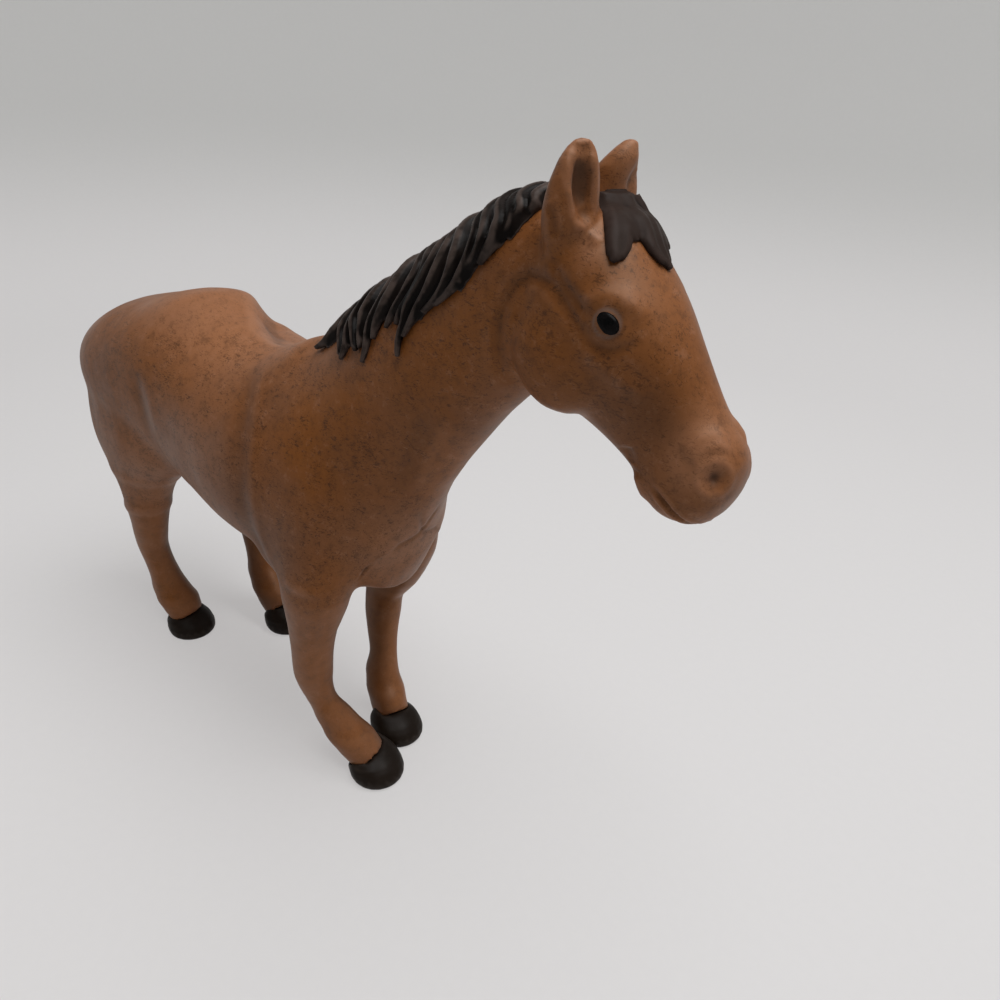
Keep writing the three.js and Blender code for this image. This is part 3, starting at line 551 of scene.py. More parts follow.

# Vinyl of the skin: warm brown all through, clouded with amber where the colour took unevenly and with mauve,
# which is partly uneven colour and partly painted shade, peppered with fine dark hair strokes, with painted
# shade in the recesses and painted highlight on tops and ridges.


class Tree:
    """Adds nodes to a node tree and joins them."""

    def __init__(self, nodes, links):
        self.nodes, self.links = nodes, links

    def add(self, kind, inputs=None, **settings):
        """A node. inputs gives values or other nodes' sockets by the name or number of its own."""
        node = self.nodes.new(kind)
        for name, value in settings.items():
            setattr(node, name, value)
        for name, value in (inputs or {}).items():
            if isinstance(value, bpy.types.NodeSocket):
                self.links.new(value, node.inputs[name])
            else:
                node.inputs[name].default_value = value
        return node

    def sum(self, operation, *values):
        """A sum, product or other reckoning of numbers."""
        node = self.add("ShaderNodeMath", dict(enumerate(values)), operation=operation)
        return node.outputs[0]

    def between(self, value, low, high, from_value=0.0, to_value=1.0):
        """A number that runs smoothly from one value to another as value goes from low to high."""
        inputs = {0: value, 1: low, 2: high, 3: from_value, 4: to_value}
        node = self.add("ShaderNodeMapRange", inputs, interpolation_type="SMOOTHSTEP")
        return node.outputs[0]

    def mix(self, share, first, second):
        """A mix of two colours."""
        node = self.add("ShaderNodeMix", data_type="RGBA")
        for socket, value in zip((node.inputs[0], node.inputs[6], node.inputs[7]), (share, first, second)):
            if isinstance(value, bpy.types.NodeSocket):
                self.links.new(value, socket)
            else:
                socket.default_value = value
        return node.outputs[2]

    def vector(self, operation, first, second):
        """A sum, product or other reckoning of places."""
        second_socket = "Scale" if operation == "SCALE" else 1
        node = self.add("ShaderNodeVectorMath", {0: first, second_socket: second}, operation=operation)
        return node.outputs["Value" if operation in ("DOT_PRODUCT", "DISTANCE") else "Vector"]

    def clamp(self, value):
        """A number held between 0 and 1."""
        return self.add("ShaderNodeClamp", {"Value": value}).outputs[0]

    def effect(self, group, inputs):
        """What a shader node group gives for these inputs."""
        return self.add("ShaderNodeGroup", inputs, node_tree=group).outputs[0]

    def noise(self, place, scale, detail=2.0, rough=0.5, twist=0.0):
        """Soft clouds from 0 to 1. A higher scale makes them finer."""
        inputs = {"Vector": place, "Scale": scale, "Detail": detail, "Roughness": rough, "Distortion": twist}
        return self.add("ShaderNodeTexNoise", inputs).outputs["Fac"]

    def mask(self, name):
        """A number that the mesh keeps at each corner."""
        return self.add("ShaderNodeAttribute", attribute_name=name).outputs["Fac"]


def new_group(name, inputs, outputs):
    """An empty shader node group with these named sockets: (name, kind, value) and (name, kind)."""
    group = bpy.data.node_groups.new(name, "ShaderNodeTree")
    for label, kind, value in inputs:
        socket = group.interface.new_socket(label, in_out="INPUT", socket_type=kind)
        if value is not None:
            socket.default_value = value
    for label, kind in outputs:
        group.interface.new_socket(label, in_out="OUTPUT", socket_type=kind)
    tree = Tree(group.nodes, group.links)
    return group, tree, tree.add("NodeGroupInput"), tree.add("NodeGroupOutput")


def strokes_group():
    """Fine short strokes that lie in every direction, thick in some patches and thin in others."""
    inputs = [("Place", "NodeSocketVector", None), ("Fineness", "NodeSocketFloat", 1000.0),
              ("Amount", "NodeSocketFloat", 0.5)]
    group, tree, given, result = new_group("fine strokes", inputs, [("Strokes", "NodeSocketFloat")])
    place = given.outputs["Place"]
    patches = tree.noise(place, 85.0, 2.0, 0.6)
    clumps = tree.noise(place, 330.0, 2.0, 0.6)
    start = tree.sum("MULTIPLY_ADD", given.outputs["Amount"], -0.06, 0.893)
    limit = tree.sum("MULTIPLY_ADD", patches, -0.16, start)
    limit = tree.sum("MULTIPLY_ADD", clumps, -0.26, limit)
    strongest = None
    for k, turn_deg in enumerate(((0, 20, 35), (60, 0, 80), (25, 70, 120), (90, 45, 10))):
        rotation = [math.radians(angle) for angle in turn_deg]
        turned = tree.add("ShaderNodeMapping", {
            "Vector": place, "Location": (k * 0.37, k * 0.11, k * 0.23), "Rotation": rotation,
            "Scale": (0.42, 1.0, 1.0),
        }).outputs[0]
        grain = tree.noise(turned, given.outputs["Fineness"], 2.0, 0.55, 1.2)
        layer = tree.sum("MULTIPLY", tree.sum("SUBTRACT", grain, limit), 11.0)
        strongest = layer if strongest is None else tree.sum("MAXIMUM", strongest, layer)
    tree.links.new(tree.clamp(strongest), result.inputs["Strokes"])
    return group


def scratch_group():
    """One hairline scratch between two places, broken here and there."""
    inputs = [("Place", "NodeSocketVector", None), ("Start", "NodeSocketVector", None),
              ("Way", "NodeSocketVector", None), ("Width", "NodeSocketFloat", 0.0002)]
    group, tree, given, result = new_group("hairline scratch", inputs, [("Scratch", "NodeSocketFloat")])
    waver = tree.add("ShaderNodeTexNoise", {"Vector": given.outputs["Place"], "Scale": 260.0, "Detail": 2.0})
    shaken = tree.vector("SUBTRACT", waver.outputs["Color"], (0.5, 0.5, 0.5))
    place = tree.vector("ADD", given.outputs["Place"], tree.vector("SCALE", shaken, 0.0012))
    apart = tree.vector("SUBTRACT", place, given.outputs["Start"])
    way = given.outputs["Way"]
    along = tree.vector("DOT_PRODUCT", apart, way)
    share = tree.clamp(tree.sum("DIVIDE", along, tree.vector("DOT_PRODUCT", way, way)))
    gap = tree.vector("DISTANCE", apart, tree.vector("SCALE", way, share))
    line = tree.between(gap, 0.0, given.outputs["Width"], 1.0, 0.0)
    broken = tree.between(tree.noise(given.outputs["Place"], 900.0, 2.0), 0.40, 0.55)
    tree.links.new(tree.sum("MULTIPLY", line, broken), result.inputs["Scratch"])
    return group


def pressed_vinyl_group():
    """The faint unevenness of soft vinyl: a low swell with a fine matt grain on it."""
    inputs = [("Place", "NodeSocketVector", None), ("Swell", "NodeSocketFloat", 1.0),
              ("Grain", "NodeSocketFloat", 1.0)]
    group, tree, given, result = new_group("pressed vinyl", inputs, [("Height", "NodeSocketFloat")])
    swell = tree.noise(given.outputs["Place"], 90.0, 2.0, 0.5)
    grain = tree.noise(given.outputs["Place"], 2200.0, 2.0, 0.6)
    low = tree.sum("MULTIPLY", swell, given.outputs["Swell"])
    high = tree.sum("MULTIPLY", grain, tree.sum("MULTIPLY", given.outputs["Grain"], 0.04))
    tree.links.new(tree.sum("ADD", low, high), result.inputs["Height"])
    return group


strokes = strokes_group()
scratch = scratch_group()
pressed_vinyl = pressed_vinyl_group()


def new_material(name):
    """A material, its node tree, its shader and its object coordinates."""
    material = bpy.data.materials.new(name)
    material.use_nodes = True
    tree = Tree(material.node_tree.nodes, material.node_tree.links)
    shader = tree.nodes["Principled BSDF"]
    place = tree.add("ShaderNodeTexCoord").outputs["Object"]
    return material, tree, shader, place


def shade(tree, shader, colour, gloss, bend_of_light):
    """Gives a shader its colour, its roughness and how strongly it bends light."""
    tree.links.new(colour, shader.inputs["Base Color"])
    tree.links.new(gloss, shader.inputs["Roughness"])
    shader.inputs["IOR"].default_value = bend_of_light


def press(tree, shader, place, grain, strength, distance_mm):
    """Gives a shader the faint relief of soft vinyl."""
    relief = tree.effect(pressed_vinyl, {"Place": place, "Grain": grain})
    inputs = {"Height": relief, "Strength": strength, "Distance": distance_mm / MM}
    tree.links.new(tree.add("ShaderNodeBump", inputs).outputs[0], shader.inputs["Normal"])


SCRATCH_WIDTH_MM = 0.28
SCRATCHES_MM = [
    ((30.4, -21.5, 132.6), (34.2, -23.0, 125.5)), ((52.0, -13.8, 129.0), (54.5, -12.6, 127.4)),
    ((45.5, 14.0, 140.0), (48.5, 13.4, 134.5)), ((-30.0, 29.5, 118.0), (-38.0, 29.9, 114.0)),
]


def skin_material(name):
    """Brown vinyl, clouded and flecked, with painted shade in its hollows and painted highlight on its
    ridges.
    """
    material, tree, shader, place = new_material(name)
    brown = (0.188, 0.061, 0.0125, 1.0)
    amber = (0.206, 0.062, 0.006, 1.0)
    mauve = (0.155, 0.056, 0.019, 1.0)
    # dark is the flecks' colour and the painted shade's; pale is the light mottle's and the scratches' colour
    # and the painted light's.
    dark = (0.022, 0.006, 0.001, 1.0)
    pale = (0.330, 0.155, 0.085, 1.0)
    clouds = tree.noise(place, 46.0, 3.0, 0.55, 0.4)
    amber_mask = tree.mask("amber")
    amber_clouds = tree.between(clouds, 0.42, 0.70, -0.25, 0.45)
    amber_share = tree.sum("MULTIPLY_ADD", amber_mask, 0.75, amber_clouds)
    colour = tree.mix(tree.clamp(amber_share), brown, amber)
    # Mauve: uneven colour, and painted shade on the lower and under sides.
    mauve_clouds = tree.between(tree.noise(place, 38.0, 2.0, 0.5, 0.2), 0.40, 0.68, -0.3, 0.5)
    mauve_share = tree.sum("MULTIPLY_ADD", tree.mask("mauve"), 0.8, mauve_clouds)
    colour = tree.mix(tree.clamp(mauve_share), colour, mauve)
    # Painted light: paler where the pale mask marks it.
    colour = tree.mix(tree.sum("MULTIPLY", tree.mask("pale"), 0.45), colour, pale)
    mottle = tree.noise(place, 300.0, 5.0, 0.75)
    colour = tree.mix(tree.between(mottle, 0.50, 0.70, 0.0, 0.38), colour, dark)
    colour = tree.mix(tree.between(mottle, 0.47, 0.30, 0.0, 0.32), colour, pale)
    specks = tree.noise(place, 2300.0, 2.0, 0.6, 0.6)
    colour = tree.mix(tree.between(specks, 0.62, 0.76, 0.0, 0.22), colour, pale)
    stroke = tree.effect(strokes, {"Place": place, "Fineness": 1500.0, "Amount": 1.0})
    calm = tree.between(tree.mask("calm"), 0.0, 1.0, 0.66, 0.30)
    colour = tree.mix(tree.sum("MULTIPLY", stroke, calm), colour, dark)
    ridge = tree.mask("ridge")
    # Ridges paler: wear and painted highlight.
    colour = tree.mix(tree.between(ridge, 0.25, 1.0, 0.0, 0.30), colour, pale)
    # Creases and the painted-shade mask darker: painted shade.
    crease_shade = tree.between(tree.sum("MULTIPLY", ridge, -1.0), 0.2, 1.0, 0.0, 0.40)
    crease_shade = tree.sum("MAXIMUM", crease_shade, tree.sum("MULTIPLY", tree.mask("painted_shade"), 0.5))
    colour = tree.mix(crease_shade, colour, dark)
    # Painted shade in the ear hollows, darker nostrils and a pale ring round each eye.
    hollow_and_eye_marks = (
        ("ear_hollow_shade", 0.80, (0.045, 0.016, 0.006, 1.0)), ("nostril_dark", 0.75, (0.035, 0.014, 0.008, 1.0)),
        ("eye_ring", 0.55, (0.150, 0.115, 0.100, 1.0)),
    )
    for mask_name, strength, tone in hollow_and_eye_marks:
        colour = tree.mix(tree.sum("MULTIPLY", tree.mask(mask_name), strength), colour, tone)
    for start, end in SCRATCHES_MM:
        line = tree.effect(scratch, {
            "Place": place, "Start": Vector(start) / MM, "Way": (Vector(end) - Vector(start)) / MM,
            "Width": SCRATCH_WIDTH_MM / MM,
        })
        colour = tree.mix(tree.sum("MULTIPLY", line, 0.55), colour, pale)
    shade(tree, shader, colour, tree.between(tree.noise(place, 60.0, 2.0), 0.3, 0.7, 0.42, 0.54), 1.36)
    shader.inputs["Specular Tint"].default_value = (1.0, 0.82, 0.66, 1.0)
    shader.inputs["Sheen Weight"].default_value = 0.06
    shader.inputs["Sheen Roughness"].default_value = 0.4
    shader.inputs["Sheen Tint"].default_value = (1.0, 0.86, 0.78, 1.0)
    press(tree, shader, place, 1.0, 0.25, 1.2)
    return material


skin_vinyl = skin_material("brown vinyl skin")
skin_mesh.materials.append(skin_vinyl)

# Legs
# Each leg is parted from the casting at its seat under the trunk, with a flush joint. The closed
# cut stays out of sight between the two pieces.
FORE_SEAM_MM, HIND_SEAM_MM, CUT_REACH_MM = 66.3, 65.0, 4.0
# Ahead of this place are the fore legs, behind it the hind legs.
MIDDLE_X_MM = -10.0
# Each leg: 1 ahead or -1 behind, and -1 right or 1 left.
LEGS = {
    "fore_leg_right": (1, -1), "fore_leg_left": (1, 1), "hind_leg_right": (-1, -1), "hind_leg_left": (-1, 1),
}


def leg_at(middle):
    """The leg that a face of the casting belongs to, or None for the trunk."""
    x, y, z = middle * MM
    seam = FORE_SEAM_MM if x > MIDDLE_X_MM else HIND_SEAM_MM
    if z > seam:
        return None
    along, across = (1 if x > MIDDLE_X_MM else -1), (1 if y > 0 else -1)
    return next(name for name, side in LEGS.items() if side == (along, across))


def parted(name, whole, keep):
    """A piece with only the faces of the whole that keep() picks, closed where it was parted."""
    part = whole.copy()
    gone = [f for f in part.faces if not keep(f.calc_center_median())]
    bmesh.ops.delete(part, geom=gone, context="FACES")
    open_edges = [e for e in part.edges if e.is_boundary]
    for edge in open_edges:
        edge.smooth = False
    caps = bmesh.ops.holes_fill(part, edges=open_edges, sides=0)["faces"]
    for cap in caps:
        cap.smooth = False
    bmesh.ops.triangulate(part, faces=caps)
    piece = piece_of(part, name)
    piece.data.materials.append(skin_vinyl)
    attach(piece, "root")
    return piece


whole = bmesh.new()
whole.from_mesh(skin_mesh)
for seam, is_fore in ((FORE_SEAM_MM, True), (HIND_SEAM_MM, False)):
    near = [f for f in whole.faces if abs(f.calc_center_median().z * MM - seam) < CUT_REACH_MM
            and (f.calc_center_median().x * MM > MIDDLE_X_MM) == is_fore]
    near_edges = {e for f in near for e in f.edges}
    near_corners = {v for f in near for v in f.verts}
    bmesh.ops.bisect_plane(whole, geom=[*near_corners, *near_edges, *near],
                           plane_co=(0, 0, seam / MM), plane_no=(0, 0, 1))
trunk = parted("trunk_neck_and_head", whole, lambda middle: leg_at(middle) is None)
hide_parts("body_skin")
for leg_name in LEGS:
    leg = parted(leg_name.replace("leg", "limb"), whole, lambda middle: leg_at(middle) == leg_name)
    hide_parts(leg_name)
whole.free()
skin_shape = BVHTree.FromPolygons(
    [tuple(v.co) for v in skin_mesh.vertices], [tuple(p.vertices) for p in skin_mesh.polygons]
)
bpy.data.objects.remove(casting)

# Hooves
# Near-black vinyl cups on the leg ends: a soft coronet edge, a wall that flares, and a flat sole.
# The wall carries faint growth rings and a dusty scuffed edge, paler also by painted highlight, with painted
# shade in its creases.
HOOF_SQUARE_MM, SOLE_EDGE_MM, HOOF_EDGE_MM = 0.5, 1.0, 0.02
# The part of a hoof's height from which its wall draws in to the coronet, and by how much.
CORONET_FROM, DRAWN_IN = 0.6, 0.17
# From where to where in its height a hoof turns soft, and how often its edges are relaxed: first all,
# then the soft part only, then all again.
SOFT_FROM, SOFT_FULL, HOOF_ROUNDS = 0.35, 0.6, (12, 22, 10)
# The growth rings: how high they stand, how close they follow each other and how they waver.
GROWTH_RING_MM, GROWTH_PER_MM, GROWTH_WAVER_PER_MM = 0.025, 4.2, 0.4


def dark_vinyl(name, body, worn_and_lit, roughness, bend_of_light, grain):
    """Dark semi-matt vinyl that is greyer where it is rubbed and dusty, with painted highlight on its ridges
    and painted shade, near black, in its crevices.
    """
    material, tree, shader, place = new_material(name)
    clouds = tree.noise(place, 110.0, 3.0, 0.6)
    colour = tree.mix(tree.between(clouds, 0.40, 0.80, 0.0, 0.30), body, worn_and_lit)
    # Ridges take the worn and lit colour: wear and painted highlight.
    ridge = tree.mask("ridge")
    uneven = tree.between(tree.noise(place, 420.0, 2.0), 0.3, 0.6, 0.35, 1.0)
    colour = tree.mix(tree.sum("MULTIPLY", tree.between(ridge, 0.50, 1.0), uneven), colour, worn_and_lit)
    # Crevices turn near black: painted shade.
    black = (0.0015, 0.001, 0.001, 1.0)
    colour = tree.mix(tree.between(tree.sum("MULTIPLY", ridge, -1.0), 0.0, 0.8, 0.0, 0.95), colour, black)
    dust = tree.between(tree.noise(place, 1500.0, 2.0, 0.7), 0.70, 0.80, 0.0, 0.25)
    colour = tree.mix(dust, colour, (0.070, 0.054, 0.045, 1.0))
    gloss = tree.between(tree.noise(place, 240.0, 3.0), 0.3, 0.7, roughness - 0.07, roughness + 0.08)
    shade(tree, shader, colour, gloss, bend_of_light)
    press(tree, shader, place, grain, 0.3, 1.0)
    return material


def rise_of(points):
    """How high each point is, as a share of the highest."""
    return points[:, 2] / points[:, 2].max()


hoof_vinyl = dark_vinyl(
    "near-black hoof vinyl", body=(0.011, 0.0065, 0.004, 1), worn_and_lit=(0.025, 0.018, 0.014, 1),
    roughness=0.42, bend_of_light=1.20, grain=2.0,
)
for leg_name in LEGS:
    node = leg_name.replace("leg", "hoof")
    hoof = joined_copy(leg_name.replace("leg", "hoof_cup"), [node])
    even_skin(hoof, HOOF_SQUARE_MM)
    relax(hoof.data, HOOF_ROUNDS[0])
    blend(hoof.data, HOOF_ROUNDS[1], slope(rise_of(corners_of(hoof.data)), SOFT_FROM, SOFT_FULL))
    relax(hoof.data, HOOF_ROUNDS[2])
    points = corners_of(hoof.data)
    rise = rise_of(points)
    middle = points[rise > CORONET_FROM, :2].mean(axis=0)
    points[:, :2] += (middle - points[:, :2]) * (DRAWN_IN * slope(rise, CORONET_FROM, 1.0))[:, None]
    set_corners(hoof.data, points)
    outward = outward_of(hoof.data)
    sideways = np.linalg.norm(outward[:, :2], axis=1)
    height = points[:, 2]
    wave = np.sin(height * GROWTH_PER_MM + np.sin(points[:, 0] * GROWTH_WAVER_PER_MM))
    growth = GROWTH_RING_MM * wave * sideways * (height > SOLE_EDGE_MM)
    points = points + outward * growth[:, None]
    points[:, 2] = np.maximum(points[:, 2], 0.0)
    set_corners(hoof.data, points)
    set_edge_mask(hoof.data, HOOF_EDGE_MM)
    hoof.data.materials.append(hoof_vinyl)
    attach(hoof, "root")
    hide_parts(node)

# Eyes
# Glossy black oval beads, pressed into the sockets. Each is a low dome with a narrow rounded rim, and
# it slants down towards the muzzle.
EYE_ROUND, EYE_SUNK_MM = 48, 0.15
# Against the CAD's bead: how far the dome stands out, its width, its height and its slant.
EYE_DOME, EYE_WIDTH, EYE_HEIGHT, EYE_SLANT = 0.6, 1.14, 0.96, 0.22
EYE_PROFILE = [
    (0.0, 1.0), (0.18, 0.985), (0.36, 0.94), (0.54, 0.85), (0.70, 0.71), (0.83, 0.53), (0.92, 0.34),
    (0.975, 0.14), (1.0, -0.08), (0.97, -0.34), (0.86, -0.60), (0.6, -0.85), (0.0, -1.0),
]


def eye_material():
    """Gloss black, faintly uneven."""
    material, tree, shader, place = new_material("gloss black eye")
    cloud = tree.between(tree.noise(place, 700.0, 2.0), 0.4, 0.75)
    colour = tree.mix(cloud, (0.002, 0.002, 0.002, 1), (0.006, 0.005, 0.005, 1))
    shade(tree, shader, colour, tree.between(tree.noise(place, 900.0, 3.0), 0.35, 0.7, 0.18, 0.34), 1.12)
    return material


eye_gloss = eye_material()
for side, node in ((-1, "eye_right"), (1, "eye_left")):
    low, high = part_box(node)
    middle = (low + high) / 2
    half = (high - low) / 2
    bead = bmesh.new()
    rings = []
    for reach, rise in EYE_PROFILE:
        out = side * (rise * half.y * (EYE_DOME if rise > 0 else 1.0) - EYE_SUNK_MM / MM)
        if reach == 0.0:
            rings.append([bead.verts.new(middle + Vector((0, out, 0)))])
            continue
        ring = []
        for k in range(EYE_ROUND):
            angle = 2 * math.pi * k / EYE_ROUND
            wide = math.cos(angle) * reach * half.x * EYE_WIDTH
            slant = EYE_SLANT * reach * math.cos(angle) * half.z
            tall = math.sin(angle) * reach * half.z * EYE_HEIGHT - slant
            ring.append(bead.verts.new(middle + Vector((wide, out, tall))))
        rings.append(ring)
    for upper, lower in zip(rings, rings[1:]):
        for k in range(EYE_ROUND):
            quad = [upper[k % len(upper)], upper[(k + 1) % len(upper)],
                    lower[(k + 1) % len(lower)], lower[k % len(lower)]]
            bead.faces.new(list(dict.fromkeys(quad)))
    bmesh.ops.recalc_face_normals(bead, faces=bead.faces)
    eye = piece_of(bead, node + "_bead")
    eye.data.shade_smooth()
    eye.data.materials.append(eye_gloss)
    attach(eye, "root")
    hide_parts(node)

# Mane
# Dark brown-black hair in thick overlapping locks that fall from the crest to the right side of the
# neck, each a tapering rope, over a thin sheet of hair.
MANE_LOCKS = [
    [(23.1, -6.8, 150.5), (20.4, -8.1, 147.9), (17.6, -8.9, 145.2), (13.9, -8.1, 141.7)],
    [(26.2, -7.5, 152.9), (26.2, -9.7, 150.5), (27.8, -12.0, 148.3), (29.5, -14.1, 145.7)],
    [(29.6, -8.4, 153.9), (29.8, -11.0, 151.2), (31.0, -12.8, 148.0), (30.9, -13.0, 144.0)],
    [(32.6, -7.9, 157.2), (31.9, -9.8, 154.4), (33.6, -11.8, 152.5), (35.1, -13.5, 150.3),
     (36.6, -14.8, 148.5)],
    [(35.4, -7.6, 159.7), (35.2, -9.6, 156.8), (35.9, -11.4, 154.8), (36.5, -12.9, 152.3),
     (38.1, -14.7, 149.6)],
    [(42.1, -7.8, 164.1), (42.0, -9.7, 161.3), (41.3, -11.2, 158.7), (40.2, -12.3, 155.8),
     (40.0, -13.6, 153.2), (40.7, -14.8, 150.5), (40.6, -14.7, 146.2)],
    [(45.9, -7.7, 166.7), (45.9, -9.9, 163.7), (44.8, -11.1, 161.0), (43.4, -12.1, 158.2),
     (42.6, -13.2, 155.5), (42.9, -14.5, 152.8)],
    [(50.8, -4.9, 172.2), (52.6, -8.1, 170.2), (52.4, -10.0, 167.5), (51.4, -11.3, 164.6),
     (49.1, -12.3, 161.4), (47.8, -13.3, 158.6), (47.1, -14.0, 156.3)],
    [(52.9, -4.7, 173.7), (56.1, -8.8, 171.5), (56.4, -11.0, 168.4), (54.9, -11.9, 165.7),
     (52.8, -12.5, 163.2), (50.9, -13.2, 160.6), (50.5, -14.1, 157.9)],
    [(57.7, -5.3, 176.3), (58.2, -8.1, 173.9), (57.9, -9.9, 171.3), (57.6, -11.2, 168.6),
     (56.4, -12.2, 166.0), (54.6, -12.9, 163.6), (53.8, -13.7, 161.0), (54.1, -14.6, 158.6),
     (52.9, -13.8, 155.0), (53.7, -14.3, 150.9)],
    [(60.3, -4.7, 178.6), (61.7, -7.6, 177.1), (61.6, -9.4, 174.5), (61.4, -10.9, 172.0),
     (61.0, -12.1, 169.3), (60.0, -13.0, 166.6), (58.2, -13.0, 163.4), (57.2, -13.2, 160.9),
     (55.9, -13.0, 158.3), (54.9, -13.3, 155.6)],
    [(63.5, -4.7, 180.6), (66.0, -8.9, 178.4), (67.0, -11.1, 175.9), (66.8, -12.5, 173.1),
     (65.7, -13.4, 169.8), (63.6, -13.4, 166.2), (59.9, -12.2, 162.3)],
    [(68.8, -6.5, 182.7), (71.2, -9.6, 181.2), (72.0, -11.4, 178.9), (72.0, -12.8, 176.3),
     (70.6, -13.0, 172.9), (68.9, -13.4, 169.8), (65.9, -12.7, 166.7), (63.6, -12.4, 164.4)],
    [(70.9, -5.6, 184.8), (74.0, -10.0, 182.4), (74.9, -12.0, 179.7), (74.1, -12.8, 176.8),
     (71.9, -12.0, 173.6), (70.8, -12.7, 170.6)],
    [(74.3, -6.0, 186.3), (77.8, -9.7, 184.5), (78.1, -11.4, 182.3), (77.6, -12.7, 179.9),
     (76.2, -13.1, 177.5), (75.3, -13.9, 175.5)],
    [(76.6, -5.2, 187.6), (79.8, -9.1, 185.8), (80.4, -10.8, 183.9), (79.6, -11.6, 182.1),
     (78.2, -11.8, 180.4)],
    [(79.4, -5.2, 188.4), (81.6, -8.2, 186.8), (81.3, -8.9, 184.9), (80.8, -10.0, 183.2)],
    [(83.0, -5.2, 188.9), (83.6, -7.2, 187.9), (83.2, -8.2, 186.4)],
]
# The under layer's lower edge runs smooth from the poll down to the first long lock.
MANE_EDGE = [
    (82.6, -7.4, 186.4), (81.6, -8.6, 184.2), (79.6, -10.2, 182.0), (76.2, -11.0, 179.0),
    (72.6, -11.8, 174.6), (69.4, -12.0, 171.6), (64.8, -12.2, 167.4), (59.4, -12.5, 162.4),
    (56.2, -12.9, 159.4), (54.4, -13.2, 156.4),
]
MANE_SHEET = [(x + 0.8, y + 1.4, z + 2.2) for x, y, z in MANE_EDGE[:-1]]
# Of a lock: half width and lift off the skin in mm, roundness of its section, and its last share.
# For the locks that is the width left at the tip, for the layer under them how far down it reaches.
MANE_UPPER, MANE_UNDER = (1.75, 0.9, 1.3, 0.3), (2.7, 0.1, 0.32, 0.8)
MANE_SQUARE_MM = 0.34
# Above 1, a lock's section comes to a keener ridge.
LOCK_KEEN = 1.3
# A lock is this wide at its start, full from one share of its length and tapering from another. Combed
# grooves run along it.
LOCK_START, LOCK_FULL_SHARE, LOCK_TAPER_SHARE = 0.7, 0.2, 0.55
COMBED_DEPTH, COMBED_GROOVES, COMBED_TWIST = 0.06, 5, 3.0
CREST_RISE_MM, FAR_SIDE_MM = 3.4, 3.4


def smooth_path(path, steps):
    """More points along a path, on a smooth curve through the given ones."""
    path = np.asarray(path, float)
    ends = np.vstack([2 * path[0] - path[1], path, 2 * path[-1] - path[-2]])
    found = []
    for place in np.linspace(0, len(path) - 1, steps):
        k = min(int(place), len(path) - 2)
        u = place - k
        a, b, c, d = ends[k:k + 4]
        found.append(0.5 * (2 * b + (c - a) * u + (2 * a - 5 * b + 4 * c - d) * u * u
                            + (3 * b - a - 3 * c + d) * u ** 3))
    return np.array(found)


def over_the_crest(path):
    """A lock's path, begun on the far side of the crest so that the lock rolls over it."""
    x, _, z = path[0]
    return [(x + 1.6, FAR_SIDE_MM, z + CREST_RISE_MM - 1.0), (x + 0.4, 0.0, z + CREST_RISE_MM), *path]


def lock_of_hair(shapes, path, half_width, lift_mm, round_share, tip=0.25, sides=16, steps=30):
    """Adds a tapering, faintly combed rope of hair that lies along a path on the skin, in mm."""
    line = smooth_path(path, steps)
    centres, ups = [], []
    for point in line:
        spot, out, _, _ = skin_shape.find_nearest(Vector(point) / MM)
        centres.append(np.array(spot) * MM + np.array(out) * lift_mm)
        ups.append(np.array(out))
    centres, ups = np.array(centres), np.array(ups)
    for _ in range(3):
        centres[1:-1] = (centres[:-2] + 2 * centres[1:-1] + centres[2:]) / 4
        ups[1:-1] = (ups[:-2] + 2 * ups[1:-1] + ups[2:]) / 4
    along = np.gradient(centres, axis=0)
    along /= np.linalg.norm(along, axis=1)[:, None]
    rings = []
    for k in range(steps):
        share = k / (steps - 1)
        swell = LOCK_START + (1.0 - LOCK_START) * min(share / LOCK_FULL_SHARE, 1.0)
        taper = 1.0 - (1.0 - tip) * max(share - LOCK_TAPER_SHARE, 0.0) / (1.0 - LOCK_TAPER_SHARE)
        half = half_width * swell * taper
        side = np.cross(along[k], ups[k])
        side /= np.linalg.norm(side)
        up = np.cross(side, along[k])
        ring = []
        for m in range(sides):
            angle = 2 * math.pi * m / sides
            combed = half * (1.0 + COMBED_DEPTH * math.cos(COMBED_GROOVES * angle + COMBED_TWIST * share))
            away = math.copysign(abs(math.cos(angle)) ** LOCK_KEEN, math.cos(angle))
            above = math.copysign(abs(math.sin(angle)) ** LOCK_KEEN, math.sin(angle))
            place = centres[k] + side * away * combed + up * above * combed * round_share
            ring.append(shapes.verts.new(place / MM))
        rings.append(ring)
    for first, second in zip(rings, rings[1:]):
        for m in range(sides):
            n = (m + 1) % sides
            shapes.faces.new((first[m], first[n], second[n], second[m]))
    shapes.faces.new(rings[0][::-1])
    shapes.faces.new(rings[-1])


def hair_piece(name, locks, upper, under, square_mm, rounds, edges=()):
    """Hair over the skin in one closed form: thick locks over a thin layer that closes their gaps."""
    shapes = bmesh.new()
    for path, half, lift_mm, round_share in edges:
        lock_of_hair(shapes, path, half, lift_mm, round_share, 0.6, steps=60)
    for number, path in enumerate(locks):
        half, lift_mm, round_share, tip = upper
        uneven = 1.0 + 0.10 * math.sin(number * 2.4)
        lock_of_hair(shapes, path, half * uneven, lift_mm + 0.15 * math.cos(number * 1.9), round_share, tip)
        half, lift_mm, round_share, reach = under
        kept = max(2, round(len(path) * reach))
        lock_of_hair(shapes, path[:kept], half, lift_mm, round_share, 0.7)
    bmesh.ops.recalc_face_normals(shapes, faces=shapes.faces)
    piece = piece_of(shapes, name)
    even_skin(piece, square_mm)
    relax(piece.data, rounds)
    return piece


